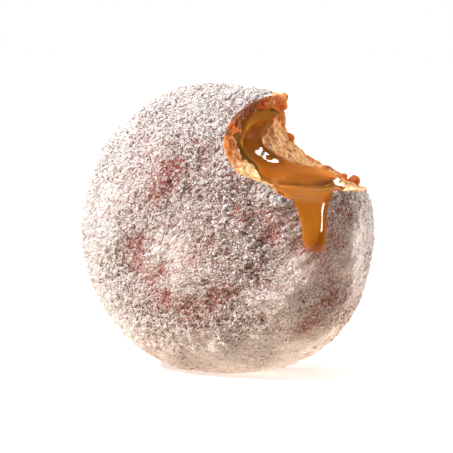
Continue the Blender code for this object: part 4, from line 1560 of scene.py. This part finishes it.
def make_floor():
    """A wide pale floor that glows a little, and that neither lights nor shows in the doughnut."""
    corners = np.array(((-1, -1, 0), (1, -1, 0), (1, 1, 0), (-1, 1, 0))) * FLOOR_SIDE
    floor = fill_mesh("floor", corners, np.array(((0, 1, 2, 3),)), np.empty((0, 3), int))
    material, _, shader = new_material("floor", {"Roughness": 0.9})
    shader.inputs["Base Color"].default_value = FLOOR_COLOUR
    shader.inputs["Emission Color"].default_value = (*WHITE, 1)
    shader.inputs["Emission Strength"].default_value = FLOOR_GLOW
    floor.data.materials.append(material)
    floor.visible_diffuse = False
    floor.visible_glossy = False


# The add-on


class DOUGHNUT_OT_crust(bpy.types.Operator):
    """Make the sugared crust"""

    bl_idname = "doughnut.crust"
    bl_label = "Sugared crust"

    def execute(self, context):
        make_crust(context.scene.doughnut_sizes, context.scene.doughnut_colours)
        return {"FINISHED"}


class DOUGHNUT_OT_crumb(bpy.types.Operator):
    """Make the torn crumb of the bite"""

    bl_idname = "doughnut.crumb"
    bl_label = "Crumb"

    def execute(self, context):
        make_crumb(context.scene.doughnut_sizes, context.scene.doughnut_colours)
        make_torn_lumps(context.scene.doughnut_colours)
        return {"FINISHED"}


class DOUGHNUT_OT_caramel(bpy.types.Operator):
    """Make the dulce de leche with its drip"""

    bl_idname = "doughnut.caramel"
    bl_label = "Dulce de leche"

    def execute(self, context):
        make_caramel(context.scene.doughnut_colours)
        return {"FINISHED"}


class DOUGHNUT_OT_grains(bpy.types.Operator):
    """Scatter the sugar's grains and clumps"""

    bl_idname = "doughnut.grains"
    bl_label = "Sugar grains"

    def execute(self, context):
        make_grains(context.scene.doughnut_sizes, context.scene.doughnut_colours)
        return {"FINISHED"}


class DOUGHNUT_OT_studio(bpy.types.Operator):
    """Set up the floor, the lights and the camera"""

    bl_idname = "doughnut.studio"
    bl_label = "Studio"

    def execute(self, context):
        make_camera()
        make_world()
        make_floor()
        make_sun("key", *KEY_SUN)
        make_sun("rim", *RIM_SUN)
        return {"FINISHED"}


class DOUGHNUT_PT_panel(bpy.types.Panel):
    """Lists the doughnut's pieces"""

    bl_idname = "DOUGHNUT_PT_panel"
    bl_label = "Doughnut"
    bl_space_type = "VIEW_3D"
    bl_region_type = "UI"
    bl_category = "Doughnut"

    def draw(self, context):
        for group in (context.scene.doughnut_sizes, context.scene.doughnut_colours):
            for name in group.__annotations__:
                self.layout.prop(group, name)
        for operator in OPERATORS:
            self.layout.operator(operator.bl_idname)


OPERATORS = (
    DOUGHNUT_OT_crust,
    DOUGHNUT_OT_crumb,
    DOUGHNUT_OT_caramel,
    DOUGHNUT_OT_grains,
    DOUGHNUT_OT_studio,
)
CLASSES = (DoughnutSizes, DoughnutColours, *OPERATORS, DOUGHNUT_PT_panel)


def register():
    """Adds the classes, and the sizes and colours to every scene."""
    for kind in CLASSES:
        bpy.utils.register_class(kind)
    bpy.types.Scene.doughnut_sizes = PointerProperty(type=DoughnutSizes)
    bpy.types.Scene.doughnut_colours = PointerProperty(type=DoughnutColours)


def unregister():
    """Takes them away again."""
    del bpy.types.Scene.doughnut_sizes
    del bpy.types.Scene.doughnut_colours
    for kind in reversed(CLASSES):
        bpy.utils.unregister_class(kind)


def main():
    """Makes the doughnut and its studio."""
    register()
    bpy.context.scene.view_settings.view_transform = "Standard"
    bpy.ops.doughnut.crust()
    bpy.ops.doughnut.crumb()
    bpy.ops.doughnut.caramel()
    bpy.ops.doughnut.grains()
    bpy.ops.doughnut.studio()


if __name__ == "__main__":
    main()
